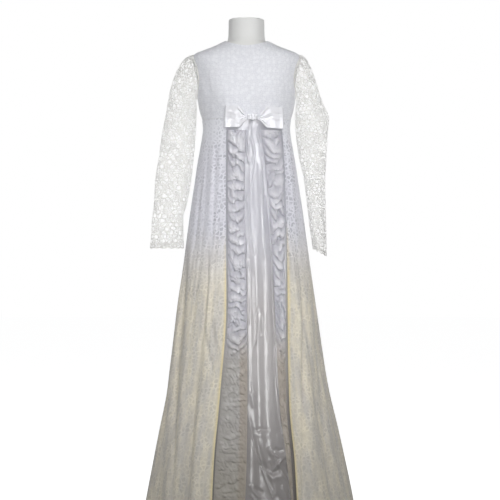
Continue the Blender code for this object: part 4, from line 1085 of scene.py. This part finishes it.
def net_and_flowers(u, v, pitch, seed):
    """Above 0 on thread: bars between irregular cells, with a flower, a twig or nothing in each."""
    row = np.round(v / (pitch * NET_ROW)).astype(np.int64)
    near = np.full(u.shape, 9.0)
    second = np.full(u.shape, 9.0)
    kept = {name: np.zeros(u.shape) for name in ("x", "y", "x2", "y2", "kind", "phase")}
    for dj in (-2, -1, 0, 1, 2):
        j = row + dj
        column = np.round(u / pitch - 0.5 * (j % 2)).astype(np.int64)
        for di in (-2, -1, 0, 1, 2):
            i = column + di
            cx = (i + 0.5 * (j % 2) + 0.56 * (hashed(i, j, seed) - 0.5)) * pitch
            cy = (j * NET_ROW + 0.50 * (hashed(i, j, seed + 1) - 0.5)) * pitch
            away = np.hypot(u - cx, v - cy)
            first = away < near
            other = ~first & (away < second)
            for name, value in (("x2", cx), ("y2", cy)):
                kept[name] = np.where(first, kept[name[0]], np.where(other, value, kept[name]))
            second = np.where(first, near, np.where(other, away, second))
            kept["x"] = np.where(first, cx, kept["x"])
            kept["y"] = np.where(first, cy, kept["y"])
            kept["kind"] = np.where(first, hashed(i, j, seed + 2), kept["kind"])
            kept["phase"] = np.where(first, hashed(i, j, seed + 3) * 6.283, kept["phase"])
            near = np.where(first, away, near)
    apart = np.maximum(np.hypot(kept["x2"] - kept["x"], kept["y2"] - kept["y"]), 1e-6)
    to_edge = (second**2 - near**2) / (2 * apart)
    cloth = BAR + BAR_WIDER * kept["kind"] - to_edge
    dx, dy = u - kept["x"], v - kept["y"]
    turn = np.arctan2(dy, dx) + kept["phase"]
    petals = pitch * (0.245 + 0.085 * np.cos(5 * turn)) - near
    bloom = np.minimum(petals, near - FLOWER_EYE)
    spoke_turn = (turn + math.pi / 5) % (2 * math.pi / 5) - math.pi / 5
    spokes = SPOKE - near * np.abs(np.sin(spoke_turn))
    flower = np.maximum(bloom, np.where(near > FLOWER_MIDDLE, spokes, -1.0))
    twig = TWIG - np.abs(dx * np.sin(kept["phase"]) - dy * np.cos(kept["phase"]))
    inside = np.where(kept["kind"] < 0.40, flower, np.where(kept["kind"] < 0.60, twig, -1.0))
    return np.maximum(cloth, inside)


def armhole_point(side, turn):
    bite = np.where(np.sin(turn) >= 0, ARMHOLE_FRONT, ARMHOLE_BACK) * np.abs(np.sin(turn))
    height = UNDERARM + (SHOULDER_TIP - UNDERARM) * (1 + np.cos(turn)) / 2
    angle = side * (math.pi / 2 - np.where(np.sin(turn) >= 0, bite, -bite))
    height = bodice_height(angle, height)
    return moved_out(body, angle, height, EASE + BODICE_CLOTH + 3 * SEAM)


def hanging_point(side, table, turn, height):
    outer, inner = table.at("outer", height), table.at("inner", height)
    x = (outer + inner) / 2 + side * np.abs(outer - inner) / 2 * np.cos(turn)
    y = table.at("middle", height) - table.at("half_depth", height) * np.sin(turn)
    return np.stack([x, y, height - table.at("droop", height) * np.cos(turn)], -1)


def sleeve_point(side, table, cap, turn, share):
    """A point of the sleeve's outer face: the head bends out of the armhole, then it hangs."""
    top, cuff = table.heights[-1], table.heights[0]
    height = top + (cuff - top) * np.maximum(0, share - CAP_SHARE) / (1 - CAP_SHARE)
    hang = hanging_point(side, table, turn, height)
    t = np.minimum(1, share / CAP_SHARE)[..., None]
    upper = (1 + np.cos(turn)) / 2
    start = armhole_point(side, turn)
    end = hanging_point(side, table, turn, np.full(np.shape(turn), top))
    none = np.zeros(np.shape(turn))
    pull_out = CAP_OUT_UNDERARM + (cap[0] - CAP_OUT_UNDERARM) * upper
    pull_down = CAP_DOWN_UNDERARM + (cap[2] - CAP_DOWN_UNDERARM) * upper
    out = np.stack([side * pull_out, none, none], -1)
    down = np.stack([side * cap[1] * upper, none, -pull_down], -1)
    head = ((1 + 2 * t) * (1 - t) ** 2 * start + t * (1 - t) ** 2 * out
            + t * t * (3 - 2 * t) * end + t * t * (t - 1) * down)
    return np.where((share > CAP_SHARE)[..., None], hang, head)


# Soft creases of the sleeves: depth, half width, and a line of (turn round in degrees, share down)
SLEEVE_CREASES = {
    -1: [
        (-0.0030, 0.10, [(40, 0.16), (75, 0.24), (120, 0.30)]),
        (0.0028, 0.09, [(30, 0.30), (70, 0.36), (130, 0.38)]),
        (-0.0032, 0.10, [(20, 0.42), (70, 0.45), (140, 0.50)]),
        (0.0030, 0.10, [(10, 0.50), (80, 0.55), (150, 0.56)]),
        (-0.0030, 0.10, [(30, 0.62), (100, 0.66), (160, 0.72)]),
        (-0.0035, 0.09, [(40, 0.93), (90, 0.96), (150, 0.95)]),
        (0.0030, 0.10, [(230, 0.20), (270, 0.28), (320, 0.30)]),
        (-0.0030, 0.12, [(220, 0.45), (280, 0.52), (330, 0.50)]),
        (-0.0025, 0.12, [(210, 0.70), (260, 0.74), (320, 0.80)]),
    ],
    1: [
        (-0.0050, 0.10, [(78, 0.10), (72, 0.22), (74, 0.34), (80, 0.44)]),
        (0.0035, 0.12, [(52, 0.12), (48, 0.24), (50, 0.36), (58, 0.44)]),
        (0.0035, 0.10, [(10, 0.28), (50, 0.31), (95, 0.30)]),
        (-0.0035, 0.09, [(5, 0.35), (55, 0.38), (110, 0.36)]),
        (-0.0030, 0.10, [(20, 0.46), (70, 0.50), (130, 0.49)]),
        (0.0030, 0.11, [(30, 0.58), (90, 0.62), (150, 0.60)]),
        (-0.0030, 0.09, [(88, 0.62), (84, 0.76), (92, 0.94)]),
        (-0.0030, 0.10, [(210, 0.24), (270, 0.30), (330, 0.33)]),
        (0.0030, 0.12, [(220, 0.44), (280, 0.50), (330, 0.46)]),
        (-0.0030, 0.12, [(200, 0.66), (270, 0.72), (320, 0.70)]),
    ],
}


def cut_piece(name, points, metres, field, coat, nodes):
    """The part of a grid of points where a field is above 0, cut along the field's own edge."""
    rows, columns = field.shape
    index = np.arange(rows * columns).reshape(rows, columns)
    a, b, c, d = index[:-1, :-1], index[:-1, 1:], index[1:, 1:], index[1:, :-1]
    flip = ((np.arange(rows - 1)[:, None] + np.arange(columns - 1)[None]) % 2).astype(bool)
    one = np.where(flip[..., None], np.stack([a, b, d], -1), np.stack([a, b, c], -1))
    two = np.where(flip[..., None], np.stack([b, c, d], -1), np.stack([a, c, d], -1))
    corners = np.concatenate([one.reshape(-1, 3), two.reshape(-1, 3)])
    value = field.ravel()
    inside = value[corners] > 0
    count = inside.sum(1)
    cut = {}
    ends = np.concatenate([corners[:, [0, 1]], corners[:, [1, 2]], corners[:, [2, 0]]])
    crossing = (value[ends[:, 0]] > 0) != (value[ends[:, 1]] > 0)
    edges = np.unique(np.sort(ends[crossing], 1), axis=0)
    low, high = edges[:, 0], edges[:, 1]
    share = np.clip(value[low] / (value[low] - value[high]), 0.08, 0.92)[:, None]
    flat_points, flat_metres = points.reshape(-1, 3), metres.reshape(-1, 2)
    bake = np.stack(np.meshgrid(np.linspace(0, 1, columns), np.linspace(0, 1, rows)), -1)
    bake = bake.reshape(-1, 2)
    size = rows * columns
    keys = low.astype(np.int64) * size + high

    def on_edge(p, q):
        key = np.minimum(p, q).astype(np.int64) * size + np.maximum(p, q)
        return size + np.searchsorted(keys, key)

    faces = [corners[count == 3]]
    for number in (1, 2):
        chosen = corners[count == number]
        odd = inside[count == number]
        odd = odd if number == 1 else ~odd
        turn = np.argmax(odd, 1)
        order = (turn[:, None] + np.arange(3)) % 3
        p, q, r = np.take_along_axis(chosen, order, 1).T
        pq, pr = on_edge(p, q), on_edge(p, r)
        if number == 1:
            faces.append(np.stack([p, pq, pr], 1))
        else:
            faces.append(np.stack([pq, q, r], 1))
            faces.append(np.stack([pq, r, pr], 1))
    faces = np.concatenate(faces)

    def with_edges(values):
        return np.concatenate([values, values[low] + (values[high] - values[low]) * share])

    everything = [with_edges(values) for values in (flat_points, flat_metres, bake)]
    used, faces = np.unique(faces, return_inverse=True)
    faces = faces.reshape(-1, 3)
    everything = [values[used] for values in everything]
    mesh = bpy.data.meshes.new(name)
    mesh.from_pydata(everything[0].tolist(), [], faces.tolist())
    set_uv(mesh, "OFBake", everything[2])
    set_uv(mesh, "cloth", everything[1])
    return finish_piece(bpy.data.objects.new(name, mesh), coat, nodes)


def build_sleeve_half(label, side, table, cap, start, coat, seed):
    """Half of a sleeve in real cut lace, with narrow bands at its seams and a scalloped cuff."""
    def face(turn, down):
        return sleeve_point(side, table, cap, turn, down)

    rough_share = np.linspace(0, 1, 200)
    rough_turn = np.linspace(start, start + math.pi, 120)
    around, down = np.meshgrid(rough_turn, rough_share)
    rough = face(around, down)
    wide = steps_across(rough).sum(1)
    lengths = length_along(rough[:, 60])
    rows = int(lengths[-1] / SLEEVE_GRID)
    columns = int(wide.mean() / SLEEVE_GRID)
    shares = np.interp(np.linspace(0, lengths[-1], rows), lengths, rough_share)
    width = np.interp(shares, rough_share, wide)
    v = np.broadcast_to(np.linspace(0, lengths[-1], rows)[:, None], (rows, columns))
    s = np.linspace(0, 1, columns)[None]
    u = (s - 0.5) * width[:, None]
    gap = SLEEVE_SEAM / table.at("half_depth", 1.0)
    turn = np.broadcast_to(start + gap + (math.pi - 2 * gap) * s, (rows, columns))
    down = np.broadcast_to(shares[:, None], (rows, columns))
    shift = 0.003
    du = face(turn + 0.01, down) - face(turn - 0.01, down)
    dv = face(turn, np.minimum(1, down + shift)) - face(turn, np.maximum(0, down - shift))
    normal = np.cross(dv, du) * side
    normal /= np.linalg.norm(normal, axis=-1, keepdims=True)
    round_way = np.degrees(turn) / 90 * QUARTER_TURN
    relief = np.zeros((rows, columns))
    for depth, half_width, line in SLEEVE_CREASES[side]:
        scaled = [(angle / 90 * QUARTER_TURN, share) for angle, share in line]
        away, along = line_away(round_way, down, scaled)
        away = away / (half_width * CREASE_NARROWING)
        relief += depth * tapered(along) * np.exp(-(away**2))
    relief += 0.0009 * noise(turn * 5, down * 26, seed) + 0.0006 * noise(turn * 13, down * 60, seed + 1)
    seam_in = np.clip(np.minimum(s, 1 - s) * 8, 0, 1) * smooth_step(0.0, 0.06, down)
    field = net_and_flowers(u, v, SLEEVE_NET, seed)
    arches = np.abs(np.sin(u / SCALLOP_PITCH * math.pi)) ** 0.7
    scallop = lengths[-1] - SCALLOP_DEPTH * (1 - arches)
    half = width[:, None] / 2
    field = np.maximum(field, SEAM_BAND - np.abs(half - np.abs(u) - SEAM_BAND_IN))
    field = np.maximum(field, HEAD_BAND - v)
    for band, in_from_edge in CUFF_BANDS:
        field = np.maximum(field, band - np.abs(scallop - v - in_from_edge))
    field = np.minimum(field, scallop - v)
    points = face(turn, down) + normal * (relief * seam_in - 0.0002)[..., None]
    if side > 0:
        points, field, u, v = points[::-1], field[::-1], u[::-1], v[::-1]
    metres = np.stack([u, v], -1)
    name = f"sleeve_{label}_" + ("front" if start < 1 else "back")
    return cut_piece(name, points, metres, field, coat, [name])


# The bow


def bow_place(x, height, out):
    away = x - BOW_MIDDLE
    sweep = np.where(away > 0, BOW_SWEEP_RIGHT, BOW_SWEEP_LEFT)
    lean = BOW_LEAN * np.maximum(0, height - EMPIRE_SEAM)
    return np.stack(np.broadcast_arrays(x, BOW_BACK + sweep * away * away - lean - out, height), -1)


# The loops' creases: depth, half width, and a line of (share out from the knot, share up)
LOOP_CREASES = {
    -1: [
        (0.0032, 0.07, [(0.02, 0.35), (0.20, 0.55), (0.42, 0.85)]),
        (-0.0029, 0.07, [(0.04, 0.10), (0.22, 0.30), (0.36, 0.60)]),
        (0.0026, 0.06, [(0.03, -0.25), (0.22, -0.35), (0.40, -0.70)]),
        (-0.0023, 0.07, [(0.02, -0.05), (0.25, -0.10), (0.48, -0.30)]),
        (0.0014, 0.10, [(0.50, 0.20), (0.72, 0.45), (0.92, 0.40)]),
        (-0.0012, 0.10, [(0.55, -0.35), (0.75, -0.20), (0.90, -0.40)]),
    ],
    1: [
        (0.0041, 0.06, [(0.03, 0.30), (0.20, 0.60), (0.34, 0.95)]),
        (-0.0038, 0.06, [(0.04, 0.10), (0.22, 0.35), (0.44, 0.80)]),
        (0.0035, 0.06, [(0.04, -0.05), (0.26, 0.10), (0.52, 0.45)]),
        (-0.0032, 0.06, [(0.03, -0.25), (0.30, -0.15), (0.58, 0.10)]),
        (0.0029, 0.06, [(0.03, -0.40), (0.24, -0.55), (0.44, -0.80)]),
        (0.0017, 0.09, [(0.50, 0.05), (0.72, -0.15), (0.92, -0.05)]),
        (-0.0017, 0.08, [(0.58, 0.45), (0.76, 0.30), (0.92, 0.42)]),
    ],
}


def build_loop(name, end, coat):
    """One loop of the bow: a wide strip folded back on itself, gathered towards the knot."""
    side = 1 if end > BOW_MIDDLE else -1
    neck = BOW_MIDDLE + side * (KNOT_WIDTH / 2 + SEAM)
    span = abs(end - neck)
    share = np.linspace(0, 1, 34)
    back = LOOP_BACK + 0.006 * (1 - smooth_step(0, 0.4, share))
    full = LOOP_RISE * (0.55 + 0.45 * np.sin(np.pi * np.minimum(1, share * 1.1)))
    front = LOOP_BACK + 0.0085 + (full - 0.0085) * smooth_step(0, 0.35, share)
    turn = np.linspace(-90, 90, 11)[1:-1]
    middle, half = (back[-1] + front[-1]) / 2, (front[-1] - back[-1]) / 2
    path = np.concatenate([share * 0.94, 0.94 + 0.06 * np.cos(np.radians(turn)), share[::-1] * 0.94])
    out = np.concatenate([back, middle + half * np.sin(np.radians(turn)), front[::-1]])
    is_front = np.concatenate([np.zeros(34), smooth_step(0, 90, turn), np.ones(34)])[:, None]
    w = np.linspace(-1, 1, 41)[None]
    s = path[:, None]
    tall = LOOP_NECK + (LOOP_TALL - LOOP_NECK) * smooth_step(0, 0.42, s)
    rounded = 1 - 0.02 * np.abs(w) ** 8 * smooth_step(0.85, 1.0, s)
    x = neck + side * span * s * np.ones_like(w)
    x = x - side * 0.0014 * w * smooth_step(0.5, 1.0, s)
    height = BOW_HEIGHT + w * tall / 2 * rounded - LOOP_TILT * side * s * 0.5
    relief = creased(np.broadcast_to(s, x.shape), np.broadcast_to(w, x.shape), LOOP_CREASES[side])
    relief = relief + 0.0012 * np.cos(w * 15 + side) * (1 - smooth_step(0, 0.35, s))
    relief = relief + 0.0003 * noise(s * 30, w * 6, 31 + side)
    points = bow_place(x, height, out[:, None] + relief * is_front)
    if side < 0:
        points = points[::-1]
    return grid_piece(name, points, coat, [name])


def build_knot(coat):
    """The knot: a gathered band round the bow's middle, with its open ends against the loops."""
    u = np.linspace(-1, 1, 49)[None]
    turn = np.linspace(0, 2 * math.pi, 97)[:, None]
    square = 3.2
    size = (np.abs(np.cos(turn)) ** square + np.abs(np.sin(turn)) ** square) ** (-1 / square)
    waist = 1 - 0.10 * (1 - u**2) - 0.25 * np.abs(u) ** 9
    pleats = 0.0009 * np.cos(u * 11) + 0.0004 * np.cos(u * 23 + 1)
    front = smooth_step(0.2, 1.0, np.sin(turn))
    height = BOW_HEIGHT + np.cos(turn) * size * KNOT_TALL / 2 * waist * 0.98 * np.ones_like(u)
    height = height + 0.0016 * np.cos(u * 5.5) * np.cos(turn) * 0.6
    out = KNOT_DEEP / 2 + np.sin(turn) * size * (KNOT_DEEP / 2 - 0.0006) * waist + pleats * front
    x = BOW_MIDDLE + u * KNOT_WIDTH / 2 * (0.93 + 0.07 * np.cos(turn)) * 0.99
    points = bow_place(np.broadcast_to(x, out.shape), height, np.maximum(out, 0.0002))
    piece = grid_piece("bow_knot", points[:, ::-1], coat, ["bow_knot"])
    weld(piece)
    return piece


# Everything together

lace_lined, lace_open, lining = bodice_coat(), overskirt_coat(), lining_coat()
thread, organza = sleeve_coat(), organza_coat()
satin = satin_coat("satin_cloth", (192, 192, 200), (185, 181, 180), (208, 207, 212))
bow_satin = satin_coat("bow_satin", (240, 240, 245), (240, 240, 245), (250, 250, 252))
steel = steel_coat()

build_form(form_coat())
for node in ("stand_base", "stand_pole"):
    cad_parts[node].data.materials.clear()
    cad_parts[node].data.materials.append(steel)
bodice = build_bodice(lace_lined)
gores = build_gores(lining)
front_satin = build_satin(satin)
lace_panels = build_overskirt(lace_open)
laps = build_laps(lace_lined)
ruffles = [
    build_ruffle("ruffle_left", "lace_left", "satin_left", organza, 41),
    build_ruffle("ruffle_right", "lace_right", "satin_right", organza, 61),
]
sleeves = [
    build_sleeve_half("left", -1, LEFT_SLEEVE, LEFT_CAP, 0.0, thread, 7),
    build_sleeve_half("left", -1, LEFT_SLEEVE, LEFT_CAP, math.pi, thread, 11),
    build_sleeve_half("right", 1, RIGHT_SLEEVE, RIGHT_CAP, 0.0, thread, 15),
    build_sleeve_half("right", 1, RIGHT_SLEEVE, RIGHT_CAP, math.pi, thread, 19),
]
loops = [
    build_loop("bow_loop_left", LEFT_LOOP_END, bow_satin),
    build_loop("bow_loop_right", RIGHT_LOOP_END, bow_satin),
]
knot = build_knot(bow_satin)

# Floor, light and camera

floor_mesh = bpy.data.meshes.new("floor")
floor_mesh.from_pydata([(-9, -6, -0.0005), (9, -6, -0.0005), (9, 12, -0.0005), (-9, 12, -0.0005)],
                       [], [(0, 1, 2, 3)])
floor = bpy.data.objects.new("floor", floor_mesh)
bpy.context.scene.collection.objects.link(floor)
paint = Coat("floor_paint")
seen = paint.node("LightPath").outputs["Is Camera Ray"]
matt = paint.node("BsdfDiffuse", {"Color": (0.40, 0.40, 0.40, 1)})
glow = paint.node("Emission", {"Color": (1, 1, 1, 1), "Strength": paint.sum("MULTIPLY", seen, 0.93)})
lit = paint.node("AddShader", {0: matt.outputs[0], 1: glow.outputs[0]})
floor_mesh.materials.append(paint.close(lit))


def area_light(name, place, aim, size, tall, watts, spread=180):
    data = bpy.data.lights.new(name, "AREA")
    data.shape = "RECTANGLE"
    data.size, data.size_y, data.energy = size, tall, watts
    data.spread = math.radians(spread)
    lamp = bpy.data.objects.new(name, data)
    lamp.location = place
    lamp.rotation_euler = (Vector(aim) - Vector(place)).to_track_quat("-Z", "Y").to_euler()
    lamp.visible_camera = False
    bpy.context.scene.collection.objects.link(lamp)


area_light("panel", (0.1, -2.5, 1.06), (0, 0, 0.98), 1.4, 1.4, 3.0, 46)
area_light("key", (0.9, -2.4, 2.4), (0, 0, 1.00), 0.35, 0.35, 3.4, 70)
area_light("strip_left", (-2.3, -1.7, 1.75), (0, 0, 1.00), 0.12, 1.5, 19)
area_light("strip_right", (2.3, -1.7, 1.75), (0, 0, 1.00), 0.12, 1.5, 15)
area_light("backdrop", (0, 1.3, 1.15), (0, 0, 1.15), 3.0, 1.9, 21)

scene = bpy.context.scene
world = bpy.data.worlds.new("studio")
scene.world = world
world.use_nodes = True
tree = world.node_tree
tree.nodes.clear()
plain = tree.nodes.new("ShaderNodeBackground")
plain.inputs["Color"].default_value = (1, 1, 1, 1)
plain.inputs["Strength"].default_value = 1.0
soft = tree.nodes.new("ShaderNodeBackground")
soft.inputs["Color"].default_value = (0.97, 0.98, 1.0, 1)
soft.inputs["Strength"].default_value = 0.16
path = tree.nodes.new("ShaderNodeLightPath")
both = tree.nodes.new("ShaderNodeMixShader")
out = tree.nodes.new("ShaderNodeOutputWorld")
tree.links.new(path.outputs["Is Camera Ray"], both.inputs[0])
tree.links.new(soft.outputs[0], both.inputs[1])
tree.links.new(plain.outputs[0], both.inputs[2])
tree.links.new(both.outputs[0], out.inputs["Surface"])
scene.view_settings.view_transform = "Standard"

camera_data = bpy.data.cameras.new("camera")
camera_data.lens, camera_data.sensor_width, camera_data.sensor_fit = 92.4, 36.0, "HORIZONTAL"
camera = bpy.data.objects.new("camera", camera_data)
camera.location = (0.0109, -4.0, 0.834)
camera.rotation_euler = (math.radians(90), 0, 0)
scene.collection.objects.link(camera)
scene.camera = camera
